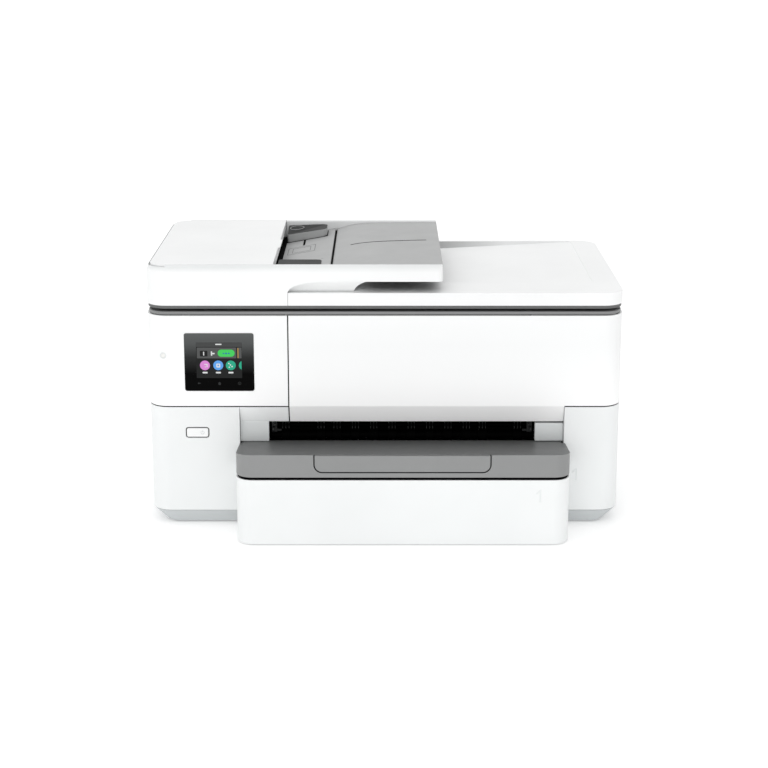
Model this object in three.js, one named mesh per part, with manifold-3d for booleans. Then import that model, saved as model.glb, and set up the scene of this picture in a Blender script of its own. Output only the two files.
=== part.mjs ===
// A wide-format all-in-one inkjet printer: printer body, scanner lid and document feeder.
// Millimetres, +Z up, origin at the centre of the footprint on the table, front towards -Y.
import * as THREE from "three";
import { mergeVertices } from "three/addons/utils/BufferGeometryUtils.js";
import Module from "manifold-3d";

const wasm = await Module();
wasm.setup();

// ---------- driving dimensions ----------
const WIDTH = 583;
const HALF = WIDTH / 2;
const BACK = 201;
const FRONT = -125; // front plane of the body
const TRAY_FRONT = -201; // front plane of both trays
const HEIGHT = 330;
const WALL = 2.6;
const GAP = 0.4; // clearance between neighbouring mouldings
const SEAM_GAP = 1.5; // width of the visible joints
const CORNER = 25; // plan radius of the body's corners

// horizontal levels
const FLOOR = 2.2;
const SKIRT_TOP = 17;
const SEAM = 152; // joint between lower and upper casing
const LIP = 130; // lower edge of the undercut below the seam
const UPPER_TOP = 267.5;
const BED_TOP = 272;
const LID_RIM_BOTTOM = 275.8;
const LID_BOTTOM = 279.5;
const LID_TOP = 295.5;
const SHELF_BOTTOM = 309.5;
const CHAMFER = 320;

// vertical lines on the front
const DOOR_LEFT = -117.6;
const MOUTH_LEFT = -179.5; // opening between the two front pillars
const MOUTH_RIGHT = 221.5;
const SLOT_LEFT = -144; // paper exit slot
const SLOT_RIGHT = 186.2;
const LIP_INSET = 10;
const DOOR_WRAP = FRONT + 29.4; // how far the door goes round the right corner
const REAR_SPLIT = 214.8; // side covers end here on the rear wall

// trays
const TRAY_LEFT = -179.4;
const TRAY_RIGHT = 222.8;
const TRAY_BOTTOM = 1.5;
const TRAY_TOP = 82.8;
const OUT_BOTTOM = 86.4;
const TRAY_CORNER = 20; // plan radius of both trays' front corners
const OUT_TOP = 114.5;
const OUT_REAR_TOP = 102.8;
const HANDLE_LEFT = -84;
const HANDLE_RIGHT = 126;
const HANDLE_BOTTOM = 93.4;

// document feeder
const COVER_EDGE = -135.5;
const TRAY_HINGE = -66;
const SHELF_END = 70.6;
const RAIL_FRONT = FRONT + 5;
const ADF_BACK = 174; // the feeder stops short of the lid's rear edge
const RAIL_REAR = ADF_BACK - 13;

// lid hinge axis
const HINGE_Y = 195.5;
const HINGE_Z = 273.5;

// paper path
const PAPER_MID = 21;
const EXIT_Y = -93;
const FEED_Y = 25;
const ROLLER_Z = 106;
const ROD_Y = 50;
const ROD_Z = 150;
const CARRIAGE_X = -40;

// ---------- materials ----------
const finish = (color, roughness, metalness = 0) =>
  new THREE.MeshStandardMaterial({ color, roughness, metalness });
const white = finish(0xf4f5f5, 0.45);
const skirtGrey = finish(0xc3c7c8, 0.5);
const lightGrey = finish(0xd2d6d6, 0.5);
const midGrey = finish(0x9c9c9c, 0.5);
const panelGrey = finish(0xb4b4b4, 0.55);
const darkGrey = finish(0x5f6060, 0.5);
const black = finish(0x17181a, 0.45);
const glossBlack = finish(0x0b0c0e, 0.1);
const foamWhite = finish(0xf2f2ef, 0.9);
const clearGlass = finish(0xbcd0d2, 0.05);
const steel = finish(0xb9bcc0, 0.3, 1);
const rubber = finish(0x26272a, 0.85);
const boardGreen = finish(0x1d5a38, 0.6);

// ---------- solids ----------
function solid(geometry) {
  const bare = geometry.index ? geometry.toNonIndexed() : geometry.clone();
  bare.deleteAttribute("normal");
  bare.deleteAttribute("uv");
  const merged = mergeVertices(bare, 1e-4);
  return new wasm.Manifold(
    new wasm.Mesh({
      numProp: 3,
      vertProperties: new Float32Array(merged.attributes.position.array),
      triVerts: new Uint32Array(merged.index.array),
    }),
  );
}

const all = (pieces) => pieces.reduce((whole, piece) => whole.add(piece));
const cut = (body, ...tools) => tools.reduce((left, tool) => left.subtract(tool), body);

function box([x0, x1], [y0, y1], [z0, z1]) {
  const shape = new THREE.BoxGeometry(x1 - x0, y1 - y0, z1 - z0);
  return solid(shape.translate((x0 + x1) / 2, (y0 + y1) / 2, (z0 + z1) / 2));
}

// A closed outline with its own fillet radius at each corner: [x, y, radius].
function outline(corners) {
  const shape = new THREE.Shape();
  const count = corners.length;
  corners.forEach(([x, y, radius = 0], i) => {
    const corner = new THREE.Vector2(x, y);
    const before = new THREE.Vector2(...corners[(i + count - 1) % count]).sub(corner).normalize();
    const after = new THREE.Vector2(...corners[(i + 1) % count]).sub(corner).normalize();
    const begin = i ? "lineTo" : "moveTo";
    if (!radius) {
      shape[begin](x, y);
      return;
    }
    const half = Math.acos(before.dot(after)) / 2;
    const start = before.clone().multiplyScalar(radius / Math.tan(half));
    const end = after.clone().multiplyScalar(radius / Math.tan(half));
    const centre = before.clone().add(after).setLength(radius / Math.sin(half));
    const from = start.clone().sub(centre).angle();
    const to = end.clone().sub(centre).angle();
    const clockwise = after.cross(before) < 0;
    shape[begin](x + start.x, y + start.y);
    shape.absarc(x + centre.x, y + centre.y, radius, from, to, clockwise);
  });
  shape.closePath();
  return shape;
}

const rectangle = (x0, x1, y0, y1, r = [0, 0, 0, 0]) =>
  outline([
    [x0, y0, r[0]],
    [x1, y0, r[1]],
    [x1, y1, r[2]],
    [x0, y1, r[3]],
  ]);

// Extrusions of an outline: upwards, towards +Y (outline in X and Z) and towards +X (outline in Y and Z).
function rise(shape, z0, z1, segments = 6) {
  const made = new THREE.ExtrudeGeometry(shape, {
    depth: z1 - z0,
    bevelEnabled: false,
    curveSegments: segments,
  });
  return solid(made.translate(0, 0, z0));
}

function alongY(shape, y0, y1, segments = 6) {
  const made = new THREE.ExtrudeGeometry(shape, {
    depth: y1 - y0,
    bevelEnabled: false,
    curveSegments: segments,
  });
  return solid(made.rotateX(Math.PI / 2).translate(0, y1, 0));
}

function alongX(shape, x0, x1, segments = 6) {
  const made = new THREE.ExtrudeGeometry(shape, {
    depth: x1 - x0,
    bevelEnabled: false,
    curveSegments: segments,
  });
  const turn = new THREE.Matrix4().makeBasis(
    new THREE.Vector3(0, 1, 0),
    new THREE.Vector3(0, 0, 1),
    new THREE.Vector3(1, 0, 0),
  );
  return solid(made.applyMatrix4(turn).translate(x0, 0, 0));
}

// A turned piece along X: steps are [x, radius] pairs from one end to the other.
function turnedX(steps, y, z, sides = 16) {
  const first = steps[0][0];
  const last = steps[steps.length - 1][0];
  const points = [[first, 0], ...steps, [last, 0]].map(([x, r]) => new THREE.Vector2(r, x));
  const made = new THREE.LatheGeometry(points, sides);
  return solid(made.rotateZ(-Math.PI / 2).translate(0, y, z));
}

const rod = (x0, x1, y, z, r, sides = 16) =>
  turnedX([[x0, r], [x1, r]], y, z, sides);

function post(x, y, z0, z1, r, sides = 24) {
  const made = new THREE.CylinderGeometry(r, r, z1 - z0, sides);
  return solid(made.rotateX(Math.PI / 2).translate(x, y, (z0 + z1) / 2));
}

function plug(x, z, y0, y1, r, sides = 24) {
  const made = new THREE.CylinderGeometry(r, r, y1 - y0, sides);
  return solid(made.translate(x, (y0 + y1) / 2, z));
}

// A frustum between two rounded rectangles of the same corner count.
function skirt(lower, upper, z0, z1) {
  const a = lower.getPoints(6);
  const b = upper.getPoints(6);
  a.pop();
  b.pop();
  const count = a.length;
  const position = [];
  const corner = (p, z) => position.push(p.x, p.y, z);
  for (let i = 0; i < count; i += 1) {
    const j = (i + 1) % count;
    corner(a[i], z0);
    corner(a[j], z0);
    corner(b[j], z1);
    corner(a[i], z0);
    corner(b[j], z1);
    corner(b[i], z1);
  }
  for (const [i, j, k] of THREE.ShapeUtils.triangulateShape(a, [])) {
    corner(a[k], z0);
    corner(a[j], z0);
    corner(a[i], z0);
    corner(b[i], z1);
    corner(b[j], z1);
    corner(b[k], z1);
  }
  const made = new THREE.BufferGeometry();
  made.setAttribute("position", new THREE.Float32BufferAttribute(position, 3));
  return solid(made);
}

const printer = new THREE.Group();

function place(name, body, material, group = printer) {
  const { vertProperties, triVerts, numProp } = body.getMesh();
  const count = vertProperties.length / numProp;
  const position = new Float32Array(count * 3);
  for (let i = 0; i < count; i += 1) {
    for (let k = 0; k < 3; k += 1) {
      position[i * 3 + k] = vertProperties[i * numProp + k];
    }
  }
  const geometry = new THREE.BufferGeometry();
  geometry.setAttribute("position", new THREE.BufferAttribute(position, 3));
  geometry.setIndex(new THREE.BufferAttribute(new Uint32Array(triVerts), 1));
  const mesh = new THREE.Mesh(geometry, material);
  mesh.name = name;
  group.add(mesh);
}

// ---------- casing ----------
const plan = (inset, r = CORNER) =>
  rectangle(-HALF + inset, HALF - inset, FRONT + inset, BACK - inset, Array(4).fill(r - inset));

// The hollow wall of the casing between two levels.
const wall = (z0, z1) => cut(rise(plan(0), z0, z1), rise(plan(WALL), z0 - 1, z1 + 1));

const footPlaces = [
  [-235, -85],
  [235, -85],
  [-235, 165],
  [235, 165],
];

function basePan() {
  const sideInset = 17;
  const frontInset = 4;
  const floorTop = FLOOR + 3.5;
  const rim = 21;
  const lower = rectangle(
    -HALF + sideInset,
    HALF - sideInset,
    FRONT + frontInset,
    BACK - frontInset,
    Array(4).fill(CORNER - 7),
  );
  const body = skirt(lower, plan(0), FLOOR, SKIRT_TOP);
  const z = [floorTop, SKIRT_TOP + 1];
  const well = box([-HALF + rim, HALF - rim], [FRONT + rim, BACK - rim], z);
  const mouth = box([MOUTH_LEFT - 2, MOUTH_RIGHT + 2], [FRONT - 1, FRONT + rim + 1], z);
  const feet = footPlaces.map(([x, y]) => post(x, y, 0, FLOOR + 1, 9));
  return cut(all([body, ...feet]), well, mouth);
}

const socket = { x: [-264, -236], z: [30, 52] };
const ports = { x: [-264, -226], z: [176, 194] };
const button = { x: [-245.4, -217.6], z: [112.5, 125], r: 3 };

// A rounded rectangle pulled along Y, widened by a gap: a hole in a wall, or what fills it.
function tile({ x, z, r }, gap, y0, y1) {
  const shape = rectangle(x[0] - gap, x[1] + gap, z[0] - gap, z[1] + gap, Array(4).fill(r + gap));
  return alongY(shape, y0, y1);
}

// The tray's number, sunk into a front face that stands at the given y.
function numeralOne(x, z, y) {
  const half = 3;
  const tall = 7.8;
  const depth = 0.5;
  const shape = outline([
    [x + half - 2, z - tall],
    [x + half, z - tall],
    [x + half, z + tall],
    [x + half - 1.8, z + tall],
    [x - half, z + tall - 3.6],
    [x - half, z + tall - 5.8],
    [x + half - 2, z + tall - 3.2],
  ]);
  return alongY(shape, y - 1, y + depth);
}

function lowerLeftCover() {
  const z = [SKIRT_TOP + GAP, SEAM - SEAM_GAP / 2];
  const ring = wall(...z);
  const front = box([-HALF - 1, MOUTH_LEFT], [FRONT - 1, 0], z);
  const rear = box([-HALF - 1, -REAR_SPLIT], [-1, BACK + 1], z);
  const cheek = box([MOUTH_LEFT - WALL, MOUTH_LEFT], [FRONT + WALL - 0.1, FRONT + 50], z);
  const buttonHole = tile(button, SEAM_GAP / 2, FRONT - 1, FRONT + WALL + 1);
  const inlet = box(socket.x, [BACK - WALL - 1, BACK + 1], socket.z);
  return cut(ring.intersect(all([front, rear])).add(cheek), buttonHole, inlet);
}

function lowerRightCover() {
  const z = [SKIRT_TOP + GAP, SEAM - SEAM_GAP / 2];
  const front = box([MOUTH_RIGHT, HALF + 1], [FRONT - 1, 0], z);
  const rear = box([REAR_SPLIT, HALF + 1], [-1, BACK + 1], z);
  const cheek = box([MOUTH_RIGHT, MOUTH_RIGHT + WALL], [FRONT + WALL - 0.1, FRONT + 50], z);
  const cover = wall(...z).intersect(all([front, rear])).add(cheek);
  return cut(cover, numeralOne(235.1, 64, FRONT));
}

const access = { x: [-150, 190], z: [60, 140] };

// Cooling slots in the rear wall, one above the other.
function vents(x, bottom, count) {
  const pitch = 7;
  const height = 2.8;
  return Array.from({ length: count }, (_, i) => {
    const z = bottom + i * pitch;
    const shape = rectangle(...x, z, z + height, Array(4).fill(height / 2 - 0.1));
    return alongY(shape, BACK - WALL - 1, BACK + 1, 2);
  });
}

function rearCover() {
  const x = [-REAR_SPLIT + GAP, REAR_SPLIT - GAP];
  const plate = box(x, [BACK - WALL, BACK], [SKIRT_TOP + GAP, SEAM - SEAM_GAP / 2]);
  const window = box(access.x, [BACK - WALL - 1, BACK + 1], access.z);
  return cut(plate, window, ...vents([-205, -161], 66, 10));
}

function rearAccessDoor() {
  const panel = box(
    [access.x[0] + GAP, access.x[1] - GAP],
    [BACK - WALL, BACK],
    [access.z[0] + GAP, access.z[1] - GAP],
  );
  const guide = outline([
    [BACK - WALL + 0.1, 70],
    [BACK - WALL + 0.1, 128],
    [178, 128, 14],
    [175, 100, 10],
    [182, 70, 8],
  ]);
  const grooves = [-110, -70, -30, 70, 110, 150].map((x) =>
    box([x - 1.2, x + 1.2], [BACK - 0.9, BACK + 1], [access.z[0] + 8, access.z[1] - 8]),
  );
  const middle = (access.x[0] + access.x[1]) / 2;
  const grip = tile(
    { x: [middle - 32, middle + 32], z: [access.z[1] - 22, access.z[1] - 8], r: 5 },
    0,
    BACK - 1.8,
    BACK + 1,
  );
  return cut(panel.add(alongX(guide, -130, 172)), ...grooves, grip);
}

const screen = { x: [-245.4, -160], z: [172, 245.5], r: 3 };
const display = { x: [-230.7, -175], z: [188.6, 233.4] };
const statusLight = { x: -271.2, z: 217, r: 2.6 };

// The sloping undercut at the seam, as an outline in Y and Z that reaches up to the given level.
const lipOutline = (top) =>
  outline([
    [FRONT, top],
    [FRONT, Math.min(top, SEAM + GAP)],
    [FRONT + LIP_INSET, LIP],
    [FRONT + LIP_INSET + 3, LIP],
    [FRONT + WALL + 0.4, top],
  ]);

function upperLeftHousing() {
  const z = [SEAM + SEAM_GAP / 2, UPPER_TOP - GAP];
  const right = DOOR_LEFT - SEAM_GAP;
  const front = box([-HALF - 1, right], [FRONT - 1, 0], z);
  const rear = box([-HALF - 1, -REAR_SPLIT], [-1, BACK + 1], z);
  const cheek = box([right - WALL, right], [FRONT + WALL - 0.1, FRONT + 28], z);
  const backing = box(
    [screen.x[0] - 4, screen.x[1] + 4],
    [FRONT + WALL - 0.1, FRONT + 5],
    [screen.z[0] - 6, screen.z[1] + 5.5],
  );
  const pocket = tile(screen, GAP, FRONT - 1, FRONT + 2.2);
  const window = tile({ ...display, r: 0.5 }, 0.5, FRONT - 1, FRONT + 6);
  const light = plug(statusLight.x, statusLight.z, FRONT - 1, FRONT + 6, statusLight.r + 0.3);
  const portHole = box(ports.x, [BACK - WALL - 1, BACK + 1], ports.z);
  const body = all([wall(...z).intersect(all([front, rear])), cheek, backing]);
  return cut(body, pocket, window, light, portHole);
}

function upperRightCover() {
  const z = [SEAM + SEAM_GAP / 2, UPPER_TOP - GAP];
  const side = box([HALF - 60, HALF + 1], [DOOR_WRAP + SEAM_GAP, 100], z);
  const rear = box([-REAR_SPLIT + GAP, HALF + 1], [99, BACK + 1], z);
  return cut(wall(...z).intersect(all([side, rear])), ...vents([90, 190], 172, 9));
}

function frontDoor() {
  const z = [SEAM + SEAM_GAP / 2, UPPER_TOP - GAP];
  const front = box([DOOR_LEFT, HALF + 1], [FRONT - 1, DOOR_WRAP], z);
  const lip = alongX(lipOutline(SEAM + 6), DOOR_LEFT, MOUTH_RIGHT - GAP);
  const hinge = FRONT + LIP_INSET;
  const knuckles = [-90, 190].map((x) => box([x - 8, x + 8], [hinge + 1, hinge + 6], [LIP, LIP + 7]));
  return all([wall(...z).intersect(front), lip, ...knuckles]);
}

const exitDepth = [FRONT + LIP_INSET, EXIT_Y - 11.2];
const exitBottom = OUT_REAR_TOP + 1.6;

// The left block carries the undercut on as far as the door.
function exitBlockLeft() {
  const block = box([MOUTH_LEFT + GAP, SLOT_LEFT], exitDepth, [exitBottom, LIP + 0.2]);
  const lip = alongX(lipOutline(SEAM - SEAM_GAP / 2), MOUTH_LEFT + GAP, DOOR_LEFT - SEAM_GAP);
  return block.add(lip);
}

const exitBlockRight = () => box([SLOT_RIGHT, MOUTH_RIGHT - GAP], exitDepth, [exitBottom, LIP - 2.4]);

// ---------- scanner ----------
const bedWindow = { x: [-226, 165], y: [-70, 150] };

function scannerBedFrame() {
  const inset = 2;
  const rim = rectangle(-HALF + inset, HALF - inset, FRONT + inset, 191.4, [22, 22, 8, 8]);
  const plate = rise(rim, UPPER_TOP + 0.3, BED_TOP);
  return cut(plate, box(bedWindow.x, bedWindow.y, [UPPER_TOP - 1, BED_TOP + 1]));
}

const pane = ({ x, y }) =>
  box([x[0] + GAP, x[1] - GAP], [y[0] + GAP, y[1] - GAP], [BED_TOP - 3.2, BED_TOP - 0.1]);

function scannerTub() {
  const outer = box([-242, 182], [-82, 162], [236, UPPER_TOP]);
  const inner = box([-240, 180], [-80, 160], [238, UPPER_TOP + 1]);
  return cut(outer, inner);
}

function scanBar() {
  const x = -214;
  const body = box([x - 9, x + 9], [-74, 154], [250, 265]);
  const bridge = box([x - 8, x + 8], [30, 50], [246.5, 250.5]);
  return body.add(bridge);
}

function hingeBracket(x) {
  const foot = box([x - 13, x + 13], [HINGE_Y - 1.2, 198.2], [240, UPPER_TOP + 0.2]);
  const ear = alongX(
    outline([
      [HINGE_Y - 1.2, UPPER_TOP],
      [198.2, UPPER_TOP],
      [HINGE_Y + 3.6, HINGE_Z, 0],
      [HINGE_Y + 3.6, HINGE_Z + 3.6, 3.4],
      [HINGE_Y - 3.6, HINGE_Z + 3.6, 3.4],
      [HINGE_Y - 3.6, HINGE_Z, 0],
      [HINGE_Y - 1.2, UPPER_TOP + 3],
    ]),
    x - 4,
    x + 4,
  );
  return cut(foot.add(ear), rod(x - 6, x + 6, HINGE_Y, HINGE_Z, 2.0));
}

// ---------- lid ----------
const lidHinges = [-170, 200];

const padDepth = 1.4; // how far the pad is let into the rim

function lidRim() {
  const inset = 1.2;
  const edge = rectangle(
    -HALF + inset,
    HALF - inset,
    FRONT + inset,
    BACK - inset,
    Array(4).fill(CORNER - inset),
  );
  const plate = rise(edge, LID_RIM_BOTTOM, LID_BOTTOM - 0.1);
  const padWell = box([-236, 196], [-86, 166], [LID_RIM_BOTTOM - 1, LID_RIM_BOTTOM + padDepth + 0.3]);
  const throughLid = [LID_RIM_BOTTOM - 1, LID_BOTTOM + 1];
  const slots = lidHinges.map((x) => box([x - 5, x + 5], [HINGE_Y - 5, BACK + 1], throughLid));
  const pins = lidHinges.flatMap((x) => [
    rod(x - 11, x + 11, HINGE_Y, HINGE_Z, 1.6),
    ...[x - 11, x + 6].map((side) =>
      box([side, side + 5], [HINGE_Y - 2, HINGE_Y + 2], [HINGE_Z - 2, LID_RIM_BOTTOM + 0.5]),
    ),
  ]);
  return all([cut(plate, padWell, ...slots), ...pins]);
}

const lidPad = () => box([-235, 195], [-85, 165], [BED_TOP + 0.8, LID_RIM_BOTTOM + padDepth]);

// The shallow output tray in the lid: its floor rises to the right and its sides slope.
const pocket = { left: -34, right: 259, front: FRONT + 57, rear: BACK - 7, depth: 13.2, corner: 10 };
const pocketSlope = { left: 12, front: 38, rear: 10 }; // run of each side wall at the deep end

function lidPanel() {
  const shape = rectangle(DOOR_LEFT, HALF, FRONT, BACK, [0, CORNER, CORNER, 0]);
  const panel = rise(shape, LID_BOTTOM + 0.2, LID_TOP);
  const floorLeft = pocket.left + pocketSlope.left;
  const low = LID_TOP - pocket.depth;
  const high = LID_TOP + 1;
  const end = LID_TOP - 0.6;
  const floorCorners = [
    [floorLeft, pocket.front + pocketSlope.front, low],
    [pocket.right, pocket.front, end],
    [pocket.right, pocket.rear, end],
    [floorLeft, pocket.rear - pocketSlope.rear, low],
  ];
  const topCorners = [
    [pocket.left, pocket.front, high],
    [pocket.right + 0.5, pocket.front, high],
    [pocket.right + 0.5, pocket.rear, high],
    [pocket.left, pocket.rear, high],
  ];
  const { left, right, front, rear, corner } = pocket;
  const mouth = rectangle(left - 1, right, front - 1, rear + 1, [0, corner, corner, 0]);
  const edge = rise(mouth, low - 1, high + 1);
  return cut(panel, hexahedron(floorCorners, topCorners).intersect(edge));
}

// A block between two four-sided faces, each listed anticlockwise seen from above.
function hexahedron(lower, upper) {
  const v = [...lower, ...upper];
  const faces = [
    [0, 3, 2, 1],
    [4, 5, 6, 7],
    [0, 1, 5, 4],
    [1, 2, 6, 5],
    [2, 3, 7, 6],
    [3, 0, 4, 7],
  ];
  const position = [];
  for (const [a, b, c, d] of faces) {
    for (const i of [a, b, c, a, c, d]) position.push(...v[i]);
  }
  const made = new THREE.BufferGeometry();
  made.setAttribute("position", new THREE.Float32BufferAttribute(position, 3));
  return solid(made);
}

// ---------- document feeder ----------
// Front or rear rail of the feeder, as an outline in X and Z: it arches down to the lid at its left end.
function railOutline() {
  const shape = new THREE.Shape();
  shape.moveTo(-HALF + CORNER, LID_BOTTOM + 0.2);
  shape.lineTo(DOOR_LEFT - GAP, LID_BOTTOM + 0.2);
  shape.lineTo(DOOR_LEFT - GAP, LID_TOP + 1);
  shape.quadraticCurveTo(DOOR_LEFT + 4, SHELF_BOTTOM - 1, DOOR_LEFT + 48, SHELF_BOTTOM);
  shape.lineTo(SHELF_END, SHELF_BOTTOM);
  shape.lineTo(SHELF_END, HEIGHT);
  shape.lineTo(-HALF + CORNER, HEIGHT);
  shape.closePath();
  return shape;
}

const feederChamfer = 3.5;
const coverInset = 4.6; // the cover sits this far inside the feeder's sides
const shelfCorner = 6;

// The outer form of the feeder: upright sides under a chamfer that goes all round.
function feederForm() {
  const radii = [CORNER, shelfCorner, shelfCorner, CORNER];
  const lower = rectangle(-HALF, SHELF_END, FRONT, ADF_BACK, radii);
  const upper = rectangle(
    -HALF + feederChamfer,
    SHELF_END - 0.5,
    FRONT + feederChamfer,
    ADF_BACK - feederChamfer,
    radii.map((r) => r - feederChamfer),
  );
  return rise(lower, LID_BOTTOM, CHAMFER).add(skirt(lower, upper, CHAMFER, HEIGHT));
}

function adfHousing() {
  const z = [LID_BOTTOM + 0.2, HEIGHT];
  const right = DOOR_LEFT - GAP;
  const ring = (inset, end) =>
    rectangle(-HALF + inset, end, FRONT + inset, ADF_BACK - inset, [CORNER - inset, 0, 0, CORNER - inset]);
  const inner = rise(ring(WALL, right - WALL), LID_BOTTOM + 3, HEIGHT + 1);
  const shell = cut(rise(ring(0, right), ...z), inner);
  const ledge = cut(
    rise(ring(0, COVER_EDGE - 14), CHAMFER - 8, CHAMFER),
    rise(ring(8, COVER_EDGE - 13), CHAMFER - 9, HEIGHT),
  );
  const frontRail = alongY(railOutline(), FRONT, RAIL_FRONT);
  const rearRail = alongY(railOutline(), RAIL_REAR, ADF_BACK);
  const between = [RAIL_FRONT - 0.1, RAIL_REAR + 0.1];
  const floor = box([DOOR_LEFT - 3, SHELF_END], between, [SHELF_BOTTOM, SHELF_BOTTOM + 1.6]);
  const endWall = box([SHELF_END - 3, SHELF_END], between, [SHELF_BOTTOM, 324.4]);
  const feeder = all([shell, ledge, frontRail, rearRail, floor, endWall, adfBase()]);
  // the left end of the lid behind the feeder
  const rearStrip = rise(
    rectangle(-HALF, right, ADF_BACK - 30, BACK, [0, 0, 0, CORNER]),
    LID_BOTTOM + 0.2,
    LID_TOP,
  ).subtract(inner);
  const throatX = [right - WALL - 1, DOOR_LEFT + 8];
  const throat = box(throatX, [RAIL_FRONT, RAIL_REAR], [SHELF_BOTTOM - 6.2, HEIGHT + 1]);
  const exit = box([throatX[0], 0], [-60, 105], [LID_TOP + 2, SHELF_BOTTOM - 6.4]);
  return cut(feeder.intersect(feederForm()).add(rearStrip), coverSeat(0), throat, exit);
}

// The space of the feeder cover, less a gap all round.
function coverSeat(gap) {
  const inset = coverInset + gap;
  const radius = CORNER - inset;
  const open = gap ? 0 : 1;
  const shape = rectangle(
    -HALF + inset,
    COVER_EDGE + open,
    FRONT + inset,
    ADF_BACK - inset,
    [radius, 0, 0, radius],
  );
  return rise(shape, CHAMFER - 1.5 + gap, HEIGHT + open);
}

function adfCover() {
  const hollow = box(
    [-HALF + 16, COVER_EDGE - 2],
    [FRONT + 16, ADF_BACK - 16],
    [CHAMFER - 2, HEIGHT - 2.6],
  );
  const tab = rise(
    rectangle(COVER_EDGE - 1, COVER_EDGE + 2.6, -15, 34, [0, 1, 1, 0]),
    HEIGHT - 2.4,
    HEIGHT,
  );
  return cut(coverSeat(GAP), hollow).add(tab);
}

function adfBase() {
  const shape = new THREE.Shape();
  shape.moveTo(DOOR_LEFT - 1, LID_TOP + 0.4);
  shape.lineTo(-38, LID_TOP + 0.4);
  shape.quadraticCurveTo(-34, SHELF_BOTTOM - 3, -12, SHELF_BOTTOM + 0.4);
  shape.lineTo(DOOR_LEFT - 1, SHELF_BOTTOM + 0.4);
  shape.closePath();
  return alongY(shape, FRONT + 10, RAIL_REAR);
}

// Height of the feeder deck, which rises to the right.
const deckHeight = (x) => 309.4 + (x + 128) * 0.183;

function adfDeck() {
  const low = SHELF_BOTTOM + 2;
  const shape = outline([
    [COVER_EDGE - 12, low - 8],
    [DOOR_LEFT, low - 8],
    [DOOR_LEFT + 7, low],
    [TRAY_HINGE - 1.6, low],
    [TRAY_HINGE - 1.6, deckHeight(TRAY_HINGE - 1.6)],
    [COVER_EDGE - 12, deckHeight(COVER_EDGE - 12)],
  ]);
  const slot = box([-110.5, -106], [78, 140], [low + 1, HEIGHT]);
  return cut(alongY(shape, RAIL_FRONT + GAP, RAIL_REAR - GAP), slot);
}

const trayAxis = { x: TRAY_HINGE + 4.6, z: 317.6, r: 3.7 };

function feederTray() {
  const { x, z, r } = trayAxis;
  const end = SHELF_END - 0.3;
  const thickness = 3.4;
  const top = new THREE.CatmullRomCurve3([
    new THREE.Vector3(x, z + r, 0),
    new THREE.Vector3(-46, 325.4, 0),
    new THREE.Vector3(-26, 327.6, 0),
    new THREE.Vector3(20, 328.4, 0),
    new THREE.Vector3(end, 328.8, 0),
  ]).getPoints(12);
  const shape = new THREE.Shape();
  shape.absarc(x, z, r, -Math.PI / 2, Math.PI / 2, true);
  top.slice(1).forEach((p) => shape.lineTo(p.x, p.y));
  top
    .slice(2)
    .reverse()
    .forEach((p) => shape.lineTo(p.x, p.y - thickness));
  shape.closePath();
  return cut(alongY(shape, RAIL_FRONT + GAP, RAIL_REAR - GAP), creaseGroove(top));
}

// A shallow groove that curves across the feeder tray, below the given top line.
function creaseGroove(top) {
  const depth = 0.9;
  const half = 0.8;
  const path = new THREE.QuadraticBezierCurve(
    new THREE.Vector2(-44.7, 20),
    new THREE.Vector2(0, 35),
    new THREE.Vector2(54, 37),
  ).getPoints(10);
  const ribbon = new THREE.Shape([
    ...path.map((p) => new THREE.Vector2(p.x, p.y - half)),
    ...path.reverse().map((p) => new THREE.Vector2(p.x, p.y + half)),
  ]);
  const above = new THREE.Shape([
    ...top.map((p) => new THREE.Vector2(p.x, p.y - depth)),
    new THREE.Vector2(top[top.length - 1].x, HEIGHT + 2),
    new THREE.Vector2(top[0].x, HEIGHT + 2),
  ]);
  return rise(ribbon, SHELF_BOTTOM, HEIGHT + 1).intersect(alongY(above, 10, 45));
}

const guideX = [-131, -78];
const guides = {
  front: { face: -70, back: -109.5, atFace: [325.6, 325.6], atBack: [325.6, 325.6] },
  rear: { face: 115, back: 151, atFace: [320.1, 328.4], atBack: [326.4, 328.4] },
};

// Paper guide on the feeder deck. Its top is given at the left and right of its face and its back.
function adfGuide({ face, back, atFace, atBack }) {
  const [left, right] = guideX;
  const rest = (x) => deckHeight(x) + 0.4;
  const rearwards = back > face;
  const [y0, y1] = rearwards ? [face, back] : [back, face];
  const [near, far] = rearwards ? [atFace, atBack] : [atBack, atFace];
  const block = hexahedron(
    [
      [left, y0, rest(left)],
      [right, y0, rest(right)],
      [right, y1, rest(right)],
      [left, y1, rest(left)],
    ],
    [
      [left, y0, near[0]],
      [right, y0, near[1]],
      [right, y1, far[1]],
      [left, y1, far[0]],
    ],
  );
  return block.intersect(rise(rectangle(left, right, y0, y1, [3, 7, 7, 3]), SHELF_BOTTOM, HEIGHT));
}

const feederRoller = { x: -162, z: 303, r: 9 };

function rollerAlongY({ x, z, r }, y0, y1, sides = 20) {
  const made = new THREE.CylinderGeometry(r, r, y1 - y0, sides);
  const shaft = new THREE.CylinderGeometry(3, 3, y1 - y0 + 40, 12);
  const middle = (y0 + y1) / 2;
  return solid(made.translate(x, middle, z)).add(solid(shaft.translate(x, middle, z)));
}

// ---------- print mechanism ----------
const wheelOffsets = [12, 35, 58, 81, 101, 145];

const feedRoller = {
  x: [-160, 214],
  y: FEED_Y,
  z: ROLLER_Z,
  shaft: 4,
  wheel: 8,
  width: 22,
  offsets: [30, 80, 130],
  sides: 16,
};
const exitRoller = {
  x: [-160, 214],
  y: EXIT_Y,
  z: ROLLER_Z,
  shaft: 4,
  wheel: 7,
  width: 10,
  offsets: wheelOffsets,
  sides: 14,
};
const starWheels = {
  x: [-141, 183],
  y: EXIT_Y,
  z: 119,
  shaft: 1.6,
  wheel: 5,
  width: 7,
  offsets: wheelOffsets,
  sides: 12,
};

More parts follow.
